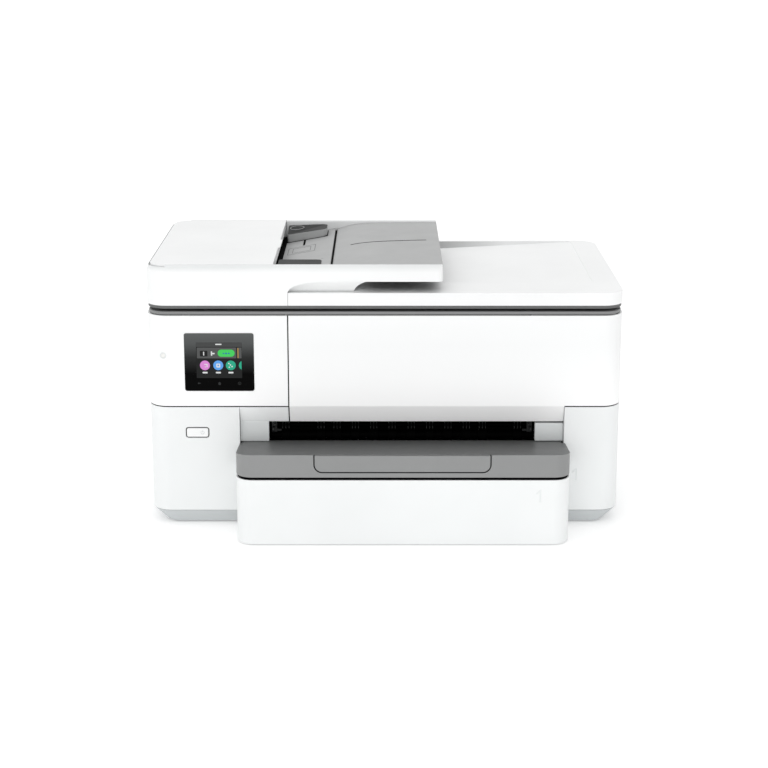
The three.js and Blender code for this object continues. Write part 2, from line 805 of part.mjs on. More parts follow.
// A shaft with rubber or spiked wheels at the given offsets either side of the paper's middle.
function wheelShaft({ x, y, z, shaft, wheel, width, offsets, sides }) {
  const centres = offsets.flatMap((d) => [PAPER_MID - d, PAPER_MID + d]).sort((a, b) => a - b);
  const steps = [[x[0], shaft]];
  for (const c of centres) {
    const ends = [c - width / 2, c + width / 2];
    steps.push([ends[0], shaft], [ends[0], wheel], [ends[1], wheel], [ends[1], shaft]);
  }
  steps.push([x[1], shaft]);
  return turnedX(steps, y, z, sides);
}

function printFrame() {
  const beam = box([-240, 286], [66, 68], [118, 216]);
  const shelf = box([-240, 286], [40, 68], [214, 216]);
  const ends = [-240, 284].map((x) => box([x, x + 2], [36, 68], [118, 216]));
  const rodHoles = rod(-245, 290, ROD_Y, ROD_Z, 5.3, 24);
  return cut(all([beam, shelf, ...ends]), rodHoles);
}

function carriage() {
  const half = 48;
  const x = [CARRIAGE_X - half, CARRIAGE_X + half];
  const tub = cut(
    box(x, [-62, 30], [126, 198]),
    box([x[0] + 3, x[1] - 3], [-63, 12], [131, 199]),
  );
  const lug = box(x, [29, 58], [136, 164]);
  const bore = rod(x[0] - 1, x[1] + 1, ROD_Y, ROD_Z, 5.35, 24);
  return cut(tub.add(lug), bore);
}

const cartridgePitch = 22;
const cartridgeNames = ["black", "cyan", "magenta", "yellow"];

function cartridge(index) {
  const centre = CARRIAGE_X + (index - 1.5) * cartridgePitch;
  const body = box([centre - 10.2, centre + 10.2], [-60, 11], [131.6, 193]);
  const grip = box([centre - 7, centre + 7], [-66, -59.9], [150, 188]);
  return body.add(grip);
}

const driveX = -228;
const idlerX = 272;
const pulleyR = 7;
const beltY = 52;

function carriageBelt() {
  const loop = (r) => {
    const shape = new THREE.Shape();
    shape.absarc(driveX, beltY, r, Math.PI / 2, (3 * Math.PI) / 2, false);
    shape.absarc(idlerX, beltY, r, -Math.PI / 2, Math.PI / 2, false);
    shape.closePath();
    return shape;
  };
  return cut(rise(loop(pulleyR + 1.4), 176, 182, 10), rise(loop(pulleyR + 0.3), 175, 183, 10));
}

const pulley = (x) => post(x, beltY, 175.4, 182.6, pulleyR, 20);

function transferBelt() {
  const loop = (r) => {
    const shape = new THREE.Shape();
    shape.absarc(EXIT_Y, ROLLER_Z, r, Math.PI / 2, (3 * Math.PI) / 2, false);
    shape.absarc(FEED_Y, ROLLER_Z, r, -Math.PI / 2, Math.PI / 2, false);
    shape.closePath();
    return shape;
  };
  return cut(alongX(loop(10.4), 205, 210, 10), alongX(loop(9.3), 204, 211, 10));
}

// The board stands on edge at the left; its connector block reaches the opening in the rear wall.
function mainBoard() {
  const board = box([-284, -282.4], [-50, 168], [92, 226]);
  const z = [ports.z[0] + 0.6, ports.z[1] - 0.6];
  const arm = box([-284, ports.x[1] - 0.6], [158, 178], z);
  const block = box([ports.x[0] + 0.6, ports.x[1] - 0.6], [177, BACK - 0.6], z);
  const sockets = [
    [-261, -247],
    [-243, -229],
  ].map((x) => box(x, [190, BACK + 1], [ports.z[0] + 4, ports.z[1] - 4]));
  return cut(all([board, arm, block]), ...sockets);
}

function powerInlet() {
  const rim = 0.6;
  const x = [socket.x[0] + rim, socket.x[1] - rim];
  const z = [socket.z[0] + rim, socket.z[1] - rim];
  const block = box(x, [178, BACK - rim], z);
  const shroud = 4;
  const recess = box([x[0] + shroud, x[1] - shroud], [184, BACK + 1], [z[0] + shroud, z[1] - shroud]);
  return cut(block, recess);
}

function pickArm() {
  const cheeks = [0, 34].map((dx) => box([dx + 2, dx + 4], [68, 128], [74, 82]));
  const bridge = box([2, 38], [92, 100], [76, 80]);
  return all([...cheeks, bridge]);
}

// ---------- trays ----------
function inputTrayTub() {
  const side = 2.4;
  const ring = (inset) =>
    rectangle(
      TRAY_LEFT + 4 + inset,
      TRAY_RIGHT - 4 - inset,
      TRAY_FRONT + 5 + inset,
      178 - inset,
      [TRAY_CORNER - 3 - inset, TRAY_CORNER - 3 - inset, 0, 0],
    );
  const shape = ring(0);
  const well = ring(side);
  const outer = rise(shape, FLOOR + 4.2, 62);
  const inner = rise(well, FLOOR + 6.6, 63);
  const lowRear = box([-200, 240], [120, 190], [22, 63]);
  return cut(outer, inner, lowRear);
}

function inputTrayFront() {
  const thickness = 3.4;
  const radii = (r) => [r, r, 0, 0];
  const outer = rectangle(TRAY_LEFT, TRAY_RIGHT, TRAY_FRONT, FRONT - 1, radii(TRAY_CORNER));
  const inner = rectangle(
    TRAY_LEFT + thickness,
    TRAY_RIGHT - thickness,
    TRAY_FRONT + thickness,
    FRONT,
    radii(TRAY_CORNER - thickness),
  );
  const wallRing = cut(rise(outer, TRAY_BOTTOM, TRAY_TOP), rise(inner, TRAY_BOTTOM + 3, TRAY_TOP + 1));
  const cap = cut(rise(outer, 66, TRAY_TOP), box([-400, 400], [TRAY_FRONT + 40, 0], [60, 90]));
  const shell = wallRing.add(cut(cap, rise(inner, 60, TRAY_TOP - 3)));
  return cut(shell, numeralOne(184.4, 62.8, TRAY_FRONT));
}

const guideRest = { left: -130, right: 172 };

function widthGuide(x, away) {
  const plate = box([x, x + 3].map((v) => (away > 0 ? v : v - 3)), [-60, 60], [FLOOR + 7.1, 46]);
  const foot = box(away > 0 ? [x, x + 26] : [x - 26, x], [-30, 30], [FLOOR + 7.1, FLOOR + 9.5]);
  return plate.add(foot);
}

const lengthGuide = () => {
  const plate = box([1, 41], [-158, -155], [FLOOR + 7.1, 44]);
  const foot = box([1, 41], [-188, -155], [FLOOR + 7.1, FLOOR + 9.5]);
  return plate.add(foot);
};

const handleCorner = 9;

function outputTray() {
  const radii = (r) => [r, r, 0, 0];
  const rearY = FRONT + 17;
  const sides = rectangle(TRAY_LEFT, TRAY_RIGHT, TRAY_FRONT, FRONT - 0.6, radii(TRAY_CORNER));
  const outer = rise(sides, OUT_BOTTOM, OUT_TOP);
  const tongue = box([MOUTH_LEFT + 3, MOUTH_RIGHT - 3], [FRONT - 0.8, rearY], [OUT_BOTTOM, OUT_TOP]);
  const overSlope = alongX(
    outline([
      [TRAY_FRONT - 0.1, OUT_TOP],
      [rearY + 1, OUT_REAR_TOP],
      [rearY + 1, OUT_TOP + 9],
      [TRAY_FRONT - 0.1, OUT_TOP + 9],
    ]),
    -HALF,
    HALF,
  );
  const shell = 3;
  const hollowSides = rectangle(
    TRAY_LEFT + shell,
    TRAY_RIGHT - shell,
    TRAY_FRONT + shell,
    rearY + shell,
    radii(TRAY_CORNER - shell),
  );
  const under = alongX(
    outline([
      [TRAY_FRONT + shell, OUT_BOTTOM - 1],
      [rearY + 2, OUT_BOTTOM - 1],
      [rearY + 2, OUT_REAR_TOP - shell],
      [TRAY_FRONT + shell, OUT_TOP - shell],
    ]),
    TRAY_LEFT + shell,
    TRAY_RIGHT - shell,
  ).intersect(rise(hollowSides, OUT_BOTTOM - 2, OUT_TOP));
  const handleGap = alongY(
    rectangle(
      HANDLE_LEFT - SEAM_GAP,
      HANDLE_RIGHT + SEAM_GAP,
      HANDLE_BOTTOM - SEAM_GAP,
      OUT_TOP + 1,
      [handleCorner + SEAM_GAP, handleCorner + SEAM_GAP, 0, 0],
    ),
    TRAY_FRONT - 1,
    TRAY_FRONT + 5.4,
  );
  const ledge = box([HANDLE_LEFT - 6, HANDLE_RIGHT + 6], [TRAY_FRONT + 2.8, rearY], [
    OUT_BOTTOM + 2,
    OUT_BOTTOM + 3.6,
  ]);
  return cut(cut(outer.add(tongue), overSlope, under).add(ledge), handleGap);
}

function outputExtension() {
  const radii = [handleCorner, handleCorner, 0, 0];
  const face = rectangle(HANDLE_LEFT, HANDLE_RIGHT, HANDLE_BOTTOM, OUT_TOP - 0.9, radii);
  const handle = alongY(face, TRAY_FRONT, TRAY_FRONT + 4.6);
  const plate = box([HANDLE_LEFT + 8, HANDLE_RIGHT - 8], [TRAY_FRONT + 4.4, FRONT + 14], [
    HANDLE_BOTTOM + 1,
    HANDLE_BOTTOM + 4,
  ]);
  return handle.add(plate);
}

function powerButton() {
  const { x, z } = button;
  const cap = tile(button, -SEAM_GAP / 2, FRONT - 0.5, FRONT + 4);
  const stem = plug((x[0] + x[1]) / 2, (z[0] + z[1]) / 2, FRONT + 3.9, FRONT + 11, 3);
  return cap.add(stem);
}

// ---------- assembly ----------
place("base_pan", basePan(), skirtGrey);
place("lower_left_cover", lowerLeftCover(), white);
place("lower_right_cover", lowerRightCover(), white);
place("rear_cover", rearCover(), lightGrey);
place("rear_access_door", rearAccessDoor(), darkGrey);
place("upper_left_housing", upperLeftHousing(), white);
place("upper_right_cover", upperRightCover(), white);
place("front_door", frontDoor(), white);
place("exit_block_left", exitBlockLeft(), lightGrey);
place("exit_block_right", exitBlockRight(), lightGrey);

place("panel_glass", tile(screen, 0, FRONT, FRONT + 1.8), glossBlack);
place("lcd_module", box(display.x, [FRONT + 2.2, FRONT + 6], display.z), black);
place("control_board", box([-252, -156], [FRONT + 7, FRONT + 8.6], [168, 250]), boardGreen);
place("status_lens", plug(statusLight.x, statusLight.z, FRONT - 0.1, FRONT + 4, statusLight.r), foamWhite);
place("power_button", powerButton(), white);

place("scanner_bed_frame", scannerBedFrame(), darkGrey);
place("scanner_glass", pane(bedWindow), clearGlass);
place("scanner_tub", scannerTub(), black);
place("scan_bar", scanBar(), black);
place("scan_guide_rod", rod(-239.6, 179.6, 40, 242.5, 3, 12), steel);
place("lid_hinge_left", hingeBracket(lidHinges[0]), darkGrey);
place("lid_hinge_right", hingeBracket(lidHinges[1]), darkGrey);

place("lid_rim", lidRim(), darkGrey);
place("lid_pad", lidPad(), foamWhite);
place("lid_panel", lidPanel(), white);
place("adf_housing", adfHousing(), white);
place("adf_cover", adfCover(), white);
place("adf_deck", adfDeck(), panelGrey);
place("feeder_tray", feederTray(), panelGrey);
place("adf_guide_front", adfGuide(guides.front), darkGrey);
place("adf_guide_rear", adfGuide(guides.rear), darkGrey);
place("adf_pick_roller", rollerAlongY(feederRoller, -6, 51), rubber);

place("print_frame", printFrame(), steel);
place("carriage_rod", rod(-237.6, 283.6, ROD_Y, ROD_Z, 5, 24), steel);
place("carriage", carriage(), black);
cartridgeNames.forEach((name, i) => place("cartridge_" + name, cartridge(i), black));
place("carriage_belt", carriageBelt(), rubber);
place("drive_pulley", pulley(driveX), steel);
place("idler_pulley", pulley(idlerX), steel);
place("carriage_motor", post(driveX, beltY, 184, 212, 10, 20), steel);
place("platen", box([-148, 190], [-80, 12], [104, 112]), black);
place("feed_roller", wheelShaft(feedRoller), rubber);
place("exit_roller", wheelShaft(exitRoller), rubber);
place("star_wheel_shaft", wheelShaft(starWheels), black);
place("transfer_belt", transferBelt(), rubber);
place("pick_arm", pickArm(), black);
place("service_station", box([214, 274], [-60, 20], [104, 120]), black);
place("power_supply", box([-280, -196], [20, 176], [22, 84]), darkGrey);
place("main_board", mainBoard(), boardGreen);
place("power_inlet", powerInlet(), black);

place("input_tray_tub", inputTrayTub(), darkGrey);
place("input_tray_front", inputTrayFront(), white);
place("width_guide_left", widthGuide(guideRest.left, -1), darkGrey);
place("width_guide_right", widthGuide(guideRest.right, 1), darkGrey);
place("length_guide", lengthGuide(), darkGrey);
place("output_tray", outputTray(), midGrey);
place("output_extension", outputExtension(), midGrey);

export default printer;
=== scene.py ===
import math

import bmesh
import bpy
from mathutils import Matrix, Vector


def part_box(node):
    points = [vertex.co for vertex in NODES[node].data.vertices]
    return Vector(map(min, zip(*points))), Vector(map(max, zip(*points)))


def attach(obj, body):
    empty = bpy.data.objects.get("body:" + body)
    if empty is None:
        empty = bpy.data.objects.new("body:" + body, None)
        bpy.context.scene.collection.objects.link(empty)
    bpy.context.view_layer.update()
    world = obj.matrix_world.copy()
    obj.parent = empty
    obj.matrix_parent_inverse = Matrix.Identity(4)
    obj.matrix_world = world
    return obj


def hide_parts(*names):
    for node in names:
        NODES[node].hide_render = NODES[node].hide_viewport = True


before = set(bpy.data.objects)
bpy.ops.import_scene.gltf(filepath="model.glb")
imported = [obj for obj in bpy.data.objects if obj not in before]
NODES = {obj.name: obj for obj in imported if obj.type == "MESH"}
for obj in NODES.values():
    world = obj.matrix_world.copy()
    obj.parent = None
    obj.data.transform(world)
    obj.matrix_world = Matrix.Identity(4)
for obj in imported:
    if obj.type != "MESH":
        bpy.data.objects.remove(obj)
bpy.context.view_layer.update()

MM = 0.001
SCENE = bpy.context.scene
PAPER_MIDDLE = 21  # the paper runs a little to the right of the printer's middle, in mm


# ---------------------------------------------------------------- camera
def make_camera():
    """A long lens above the printer, looking slightly down on it."""
    data = bpy.data.cameras.new("camera")
    data.sensor_width = 36
    data.lens = 79.441
    data.shift_x = -0.0012
    data.shift_y = -0.1
    data.clip_end = 40
    camera = bpy.data.objects.new("camera", data)
    camera.location = (0, -2.12495, 0.76037)
    camera.rotation_euler = (math.radians(90 - 13.5628), 0, 0)
    SCENE.collection.objects.link(camera)
    SCENE.camera = camera


make_camera()
SCENE.view_settings.view_transform = "Standard"


# ---------------------------------------------------------------- materials
def linear(hex_colour, gain=1.0):
    """An sRGB colour such as "f4f5f5" as linear RGBA."""
    values = [int(hex_colour[i : i + 2], 16) / 255 for i in (0, 2, 4)]
    flat = [v / 12.92 if v <= 0.04045 else ((v + 0.055) / 1.055) ** 2.4 for v in values]
    return (*[min(1.0, v * gain) for v in flat], 1.0)


class Nodes:
    """A short way to write a node tree."""

    def __init__(self, name):
        self.material = bpy.data.materials.new(name)
        self.material.use_nodes = True
        self.tree = self.material.node_tree
        self.shader = self.tree.nodes["Principled BSDF"]
        self.coords = self.add("ShaderNodeTexCoord").outputs["Object"]

    def add(self, kind, **settings):
        node = self.tree.nodes.new(kind)
        for key, value in settings.items():
            setattr(node, key, value)
        return node

    def link(self, source, target):
        self.tree.links.new(source, target)

    def set(self, **values):
        """Constants on the shader's own sockets; an underscore stands for a space."""
        for key, value in values.items():
            self.shader.inputs[key.replace("_", " ")].default_value = value

    def noise(self, scale, detail, stretch=None):
        node = self.add("ShaderNodeTexNoise")
        node.inputs["Scale"].default_value = scale
        node.inputs["Detail"].default_value = detail
        source = self.coords
        if stretch:
            mapping = self.add("ShaderNodeMapping")
            mapping.inputs["Scale"].default_value = stretch
            self.link(source, mapping.inputs["Vector"])
            source = mapping.outputs["Vector"]
        self.link(source, node.inputs["Vector"])
        return node.outputs["Fac"]

    def spread(self, value, low, high, source=(0.3, 0.7)):
        node = self.add("ShaderNodeMapRange")
        node.inputs["From Min"].default_value = source[0]
        node.inputs["From Max"].default_value = source[1]
        node.inputs["To Min"].default_value = low
        node.inputs["To Max"].default_value = high
        self.link(value, node.inputs["Value"])
        return node.outputs["Result"]

    def ramp(self, value, stops):
        node = self.add("ShaderNodeValToRGB")
        elements = node.color_ramp.elements
        while len(elements) < len(stops):
            elements.new(0.5)
        for element, (place, colour) in zip(elements, stops):
            element.position = place
            element.color = colour
        self.link(value, node.inputs["Fac"])
        return node.outputs["Color"]

    def height(self, axis, low, high):
        """0 to 1 along one axis of the object, between two levels in millimetres."""
        split = self.add("ShaderNodeSeparateXYZ")
        self.link(self.coords, split.inputs["Vector"])
        return self.spread(split.outputs[axis], 0, 1, (low * MM, high * MM))

    def facing(self, axis, low, high):
        """0 to 1 as faces turn along an axis of the object, between two values of their normal."""
        split = self.add("ShaderNodeSeparateXYZ")
        self.link(self.add("ShaderNodeTexCoord").outputs["Normal"], split.inputs["Vector"])
        return self.spread(split.outputs[axis], 0, 1, (low, high))

    def product(self, first, second):
        node = self.add("ShaderNodeMath", operation="MULTIPLY")
        self.link(first, node.inputs[0])
        self.link(second, node.inputs[1])
        return node.outputs["Value"]

    def mix(self, share, first, second, kind="RGBA"):
        node = self.add("ShaderNodeMix", data_type=kind)
        self.link(share, node.inputs["Factor"])
        self.link(first, node.inputs["A"])
        self.link(second, node.inputs["B"])
        return node.outputs["Result"]

    def drifting(self, value, colour, drift=0.02):
        """A colour that is a little darker and lighter from place to place."""
        return self.ramp(value, [(0.35, linear(colour, 1 - drift)), (0.65, linear(colour, 1 + drift))])

    def bump(self, value, strength, distance, below=None):
        node = self.add("ShaderNodeBump")
        node.inputs["Strength"].default_value = strength
        node.inputs["Distance"].default_value = distance
        self.link(value, node.inputs["Height"])
        if below:
            self.link(below, node.inputs["Normal"])
        return node.outputs["Normal"]

    def colour(self, socket):
        self.link(socket, self.shader.inputs["Base Color"])

    def rough(self, socket):
        self.link(socket, self.shader.inputs["Roughness"])

    def normal(self, socket):
        self.link(socket, self.shader.inputs["Normal"])


# noise as a scale per metre and a level of detail
TONE_NOISE = (6, 3)
GLOSS_NOISE = (38, 4)
GRAIN_NOISE = (1900, 2)
GRAIN_DEPTH = 0.00006
PLASTIC_IOR = 1.5


def moulded(name, colour, rough=0.42, grain=0.12, drift=0.02, gloss=0.5):
    """Injection-moulded plastic: a fine eroded grain, and slightly uneven gloss and tone."""
    n = Nodes(name)
    n.colour(n.drifting(n.noise(*TONE_NOISE), colour, drift))
    n.rough(n.spread(n.noise(*GLOSS_NOISE), rough - 0.05, rough + 0.06))
    waviness = n.bump(n.noise(90, 1), 0.05, 0.0002)
    n.normal(n.bump(n.noise(*GRAIN_NOISE), grain, GRAIN_DEPTH, waviness))
    n.set(IOR=PLASTIC_IOR, Specular_IOR_Level=gloss)
    return n.material


def tone_by_facing(name, top, side, rough, top_rough, gloss, turn=(0.72, 0.9), grain=0.1):
    """Moulded plastic whose upward faces have another tone and gloss than its sides; on the output tray and
    the feeder housing the upward tone is painted shade.
    """
    n = Nodes(name)
    up = n.facing("Z", *turn)
    tone = n.noise(*TONE_NOISE)
    n.colour(n.mix(up, n.drifting(tone, side), n.drifting(tone, top, 0.03)))
    patches = n.noise(*GLOSS_NOISE)
    sides = n.spread(patches, rough - 0.04, rough + 0.05)
    tops = n.spread(patches, top_rough - 0.03, top_rough + 0.04)
    n.rough(n.mix(up, sides, tops, "FLOAT"))
    n.normal(n.bump(n.noise(*GRAIN_NOISE), grain, 0.00005))
    n.set(IOR=PLASTIC_IOR, Specular_IOR_Level=gloss)
    return n.material


def fading(name, upper, lower, band, rough=0.4, gloss=0.4):
    """Moulded plastic that goes from one tone to another over a band of heights, given in mm."""
    n = Nodes(name)
    n.colour(n.ramp(n.height("Z", *band), [(0.0, linear(lower)), (1.0, linear(upper))]))
    n.rough(n.spread(n.noise(*GLOSS_NOISE), rough - 0.05, rough + 0.06))
    n.normal(n.bump(n.noise(*GRAIN_NOISE), 0.12, GRAIN_DEPTH))
    n.set(IOR=PLASTIC_IOR, Specular_IOR_Level=gloss)
    return n.material


def panel_white(name, colour, shade):
    """The lid's white plastic, with painted shade on the steep rear wall of its recess, darkest at its left
    end.
    """
    n = Nodes(name)
    wall = n.product(n.facing("Y", -0.35, -0.75), n.height("Y", 120, 150))
    rightwards = n.height("X", 80, 170)
    # painted shade on the recess wall, darker towards the feeder's shelf on the left
    painted_wall_shade = n.ramp(rightwards, [(0.0, linear(shade)), (1.0, linear(colour, 0.95))])
    n.colour(n.mix(wall, n.drifting(n.noise(*TONE_NOISE), colour), painted_wall_shade))
    n.rough(n.spread(n.noise(*GLOSS_NOISE), 0.35, 0.46))
    n.normal(n.bump(n.noise(*GRAIN_NOISE), 0.12, GRAIN_DEPTH))
    n.set(IOR=PLASTIC_IOR, Specular_IOR_Level=0.4)
    return n.material


def brushed(name, colour):
    """Metal with fine lines drawn along X."""
    n = Nodes(name)
    lines = n.noise(1.0, 3, (6, 700, 700))
    n.colour(n.ramp(lines, [(0.3, linear(colour, 0.86)), (0.7, linear(colour, 1.08))]))
    n.rough(n.spread(lines, 0.2, 0.4))
    n.normal(n.bump(lines, 0.12, 0.00004))
    n.set(Metallic=1.0)
    return n.material


def rubbery(name, colour):
    """Rubber: a dusty, pitted matt surface."""
    n = Nodes(name)
    n.colour(n.ramp(n.noise(60, 5), [(0.3, linear(colour, 0.8)), (0.75, linear(colour, 1.35))]))
    n.rough(n.spread(n.noise(300, 2), 0.72, 0.92))
    n.normal(n.bump(n.noise(1400, 3), 0.3, 0.0001))
    return n.material


def foam(name, colour):
    """Closed-cell foam under a smooth white skin."""
    n = Nodes(name)
    cells = n.add("ShaderNodeTexVoronoi")
    cells.inputs["Scale"].default_value = 900
    n.link(n.coords, cells.inputs["Vector"])
    n.colour(n.ramp(n.noise(30, 4), [(0.3, linear(colour, 0.96)), (0.7, linear(colour))]))
    n.rough(n.spread(n.noise(200, 2), 0.8, 0.95))
    n.normal(n.bump(cells.outputs["Distance"], 0.25, 0.00012))
    n.set(Sheen_Weight=0.15)
    return n.material


def board(name):
    """Circuit board: solder mask over copper traces, with black connector blocks at the rear."""
    n = Nodes(name)
    runs = [n.noise(1.0, 1, stretch) for stretch in ((260, 9, 60), (60, 300, 9))]
    trace = n.product(*[n.spread(run, 0, 1, (0.52, 0.56)) for run in runs])
    copper = n.ramp(trace, [(0.2, linear("14502f")), (0.6, linear("2f7d4c"))])
    block = n.ramp(n.noise(80, 3), [(0.3, linear("1a1b1c")), (0.7, linear("242526"))])
    behind = n.height("Y", 156, 157)  # the connector blocks stand behind this level
    n.colour(n.mix(behind, copper, block))
    n.rough(n.spread(n.noise(400, 2), 0.3, 0.45))
    n.normal(n.bump(trace, 0.3, 0.0001))
    n.set(Coat_Weight=0.3)
    return n.material


def clear_glass(name):
    """Float glass with a slight green body colour."""
    n = Nodes(name)
    n.colour(n.ramp(n.noise(8, 1), [(0.4, linear("d8e8e4")), (0.6, linear("e4f0ee"))]))
    n.rough(n.spread(n.noise(8, 0), 0.01, 0.02))
    n.set(Transmission_Weight=0.9, IOR=1.5)
    return n.material


def glass_with_painted_reflection(name):
    """The touch panel's cover: black print under glass, with a painted reflection that makes it paler
    towards its upper edge.
    """
    n = Nodes(name)
    low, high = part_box("panel_glass")
    painted_reflection = n.height("Z", low.z / MM, high.z / MM)
    # painted reflection: black at the bottom, grey towards the top
    stops = [
        (0.0, linear("010101")),
        (0.3, linear("020202")),
        (0.58, linear("2c2d2d")),
        (0.82, linear("525454")),
        (1.0, linear("5c5e5e")),
    ]
    n.colour(n.ramp(painted_reflection, stops))
    n.rough(n.spread(n.noise(50, 3), 0.05, 0.12))
    n.set(Specular_IOR_Level=0.04)
    return n.material


def lit(name, low_colour, high_colour, strength=0.92):
    """A display colour: lights itself, with a slight ripple from the pixel grid."""
    n = Nodes(name)
    grid = n.noise(1.0, 0, (2600, 40, 2600))
    tint = n.ramp(grid, [(0.3, linear(low_colour)), (0.7, linear(high_colour))])
    n.colour(n.ramp(grid, [(0.3, linear(low_colour, 0.08)), (0.7, linear(high_colour, 0.08))]))
    n.link(tint, n.shader.inputs["Emission Color"])
    n.set(Emission_Strength=strength, Specular_IOR_Level=0.05)
    n.rough(n.spread(n.noise(60, 2), 0.15, 0.25))
    return n.material


WHITE = moulded("white_plastic", "f1f2f2", 0.4, gloss=0.4)
# painted light: the door and the upper left housing are whiter towards the bottom, to offset the shade just
# above the output tray
DOOR_WHITE = fading("white_plastic_door", "f1f2f2", "ffffff", (128, 230))
LID_WHITE = panel_white("white_plastic_lid", "f1f2f2", "b4b5b5")
WHITE_LOW = moulded("white_plastic_low", "eaecec", 0.42, gloss=0.35)
SKIRT = moulded("skirt_grey", "bfc3c4", 0.45)
LIGHT = moulded("light_grey", "e2e5e5", 0.45)
# painted light: the exit block's sloping lip is whiter than the block below it, to offset the shade on its
# down-facing slope
BLOCK = fading("light_grey_block", "fbfdfd", "e2e5e5", (128, 133), 0.45, 0.5)
# painted shade: the output tray's upward faces are darker than its sides, for the shade under the body's
# overhang
TRAY = tone_by_facing("tray_grey", "646565", "8b8c8c", 0.45, 0.42, 0.35, grain=0.02)
FEEDER = moulded("feeder_grey", "acadad", 0.5, 0.25, gloss=0.3)
DARK = moulded("dark_grey", "626363", 0.45, 0.2, gloss=0.3)
BED = moulded("bed_grey", "868787", 0.45, 0.2, gloss=0.3)
GUIDE = tone_by_facing("guide_grey", "333434", "b2b3b3", 0.5, 0.45, 0.05)
# painted shade: the feeder housing's chamfer and top are darker than its front
HOUSING = tone_by_facing("white_plastic_feeder", "e0e2e2", "eff0f0", 0.4, 0.4, 0.4, (0.12, 0.3))
# black trim; the same black also makes painted shadows in the casing's seams, the gaps between parts and
# the feeder tray's crease
TRIM_AND_SHADOW = moulded("black_trim_and_shadow", "0a0a0b", 0.6, 0.2, drift=0.1, gloss=0.1)
BLACK = moulded("black_plastic", "141516", 0.4, 0.2, drift=0.08)
# near-black for painted shadows, and for the parts in the paper slot
BLACK_AND_SHADOW = moulded("black_and_painted_shadow", "020202", 0.7, 0.2, drift=0.1, gloss=0.03)
GLOSS = glass_with_painted_reflection("panel_gloss")
FOAM = foam("foam", "f1f1ee")
GLASS = clear_glass("glass")
STEEL = brushed("steel", "b6babf")
RUBBER = rubbery("rubber", "232427")
BOARD = board("circuit_board")

SLOT_MATERIAL = {
    "white_plastic": WHITE,
    "skirt_grey": SKIRT,
    "light_grey": LIGHT,
    "tray_grey": TRAY,
    "feeder_grey": FEEDER,
    "dark_grey": DARK,
    "black_plastic": BLACK,
    "panel_gloss": GLOSS,
    "foam": FOAM,
    "glass": GLASS,
    "steel": STEEL,
    "rubber": RUBBER,
    "circuit_board": BOARD,
}


# ---------------------------------------------------------------- CAD nodes
# edge radii in mm
EDGE = {
    "base_pan": 0.6,
    "lower_left_cover": 0.5,
    "lower_right_cover": 0.5,
    "upper_left_housing": 0.5,
    "front_door": 0.5,
    "lid_panel": 1.2,
    "adf_housing": 0.5,
    "adf_cover": 0.8,
    "feeder_tray": 0.6,
    "adf_deck": 0.4,
    "input_tray_front": 1.4,
    "output_tray": 1.0,
    "output_extension": 0.8,
    "adf_guide_front": 1.6,
    "adf_guide_rear": 1.6,
    "exit_block_left": 0.8,
    "exit_block_right": 0.8,
    "power_button": 0.4,
    "lid_rim": 0.8,
    "scanner_bed_frame": 0.8,
}
USUAL_EDGE = 0.3
# least angle, in degrees, between two faces whose edge is rounded, and the nodes with shallower edges
USUAL_TURN = 32
SHALLOW_TURN = 20
SHALLOW = ("front_door", "upper_left_housing", "exit_block_left", "input_tray_front")
PIERCED = ("upper_right_cover", "rear_cover", "rear_access_door")  # many holes in one flat face
# nodes with another material than their slot's
FINISH = {
    "lid_panel": LID_WHITE,
    "adf_housing": HOUSING,
    "front_door": DOOR_WHITE,
    "exit_block_left": BLOCK,
    "upper_left_housing": DOOR_WHITE,
    "lower_left_cover": WHITE_LOW,
    "lower_right_cover": WHITE_LOW,
    "input_tray_front": WHITE_LOW,
    "scanner_bed_frame": BED,
    "adf_guide_front": GUIDE,
    "adf_guide_rear": GUIDE,
    # the parts in the paper slot are black, and darker still as painted shade of the slot
    "exit_roller": BLACK_AND_SHADOW,
    "feed_roller": BLACK_AND_SHADOW,
    "platen": BLACK_AND_SHADOW,
    "print_frame": BLACK_AND_SHADOW,
    "star_wheel_shaft": BLACK_AND_SHADOW,
}


def dress(name, node):
    """Clean shading, small edge radii and the finish of its slot for a CAD node."""
    mesh = node.data
    finish = mesh.materials[0].name.split(".")[0]
    mesh.materials.clear()
    mesh.materials.append(FINISH.get(name, SLOT_MATERIAL[finish]))
    for layer in ("custom_normal", "sharp_edge", "sharp_face"):
        if layer in mesh.attributes:
            mesh.attributes.remove(mesh.attributes[layer])
    for polygon in mesh.polygons:
        polygon.use_smooth = True
    weld = node.modifiers.new("weld", "WELD")
    weld.merge_threshold = 0.002 * MM
    if name not in PIERCED:
        flat = node.modifiers.new("flat", "DECIMATE")
        flat.decimate_type = "DISSOLVE"
        flat.angle_limit = math.radians(0.6)
    edge = node.modifiers.new("edge", "BEVEL")
    edge.width = EDGE.get(name, USUAL_EDGE) * MM
    edge.segments = 2
    edge.limit_method = "ANGLE"
    edge.angle_limit = math.radians(SHALLOW_TURN if name in SHALLOW else USUAL_TURN)
    edge.use_clamp_overlap = True
    shade = node.modifiers.new("shade", "WEIGHTED_NORMAL")
    shade.keep_sharp = False
    shade.weight = 90


for node_name, cad_node in NODES.items():
    dress(node_name, cad_node)


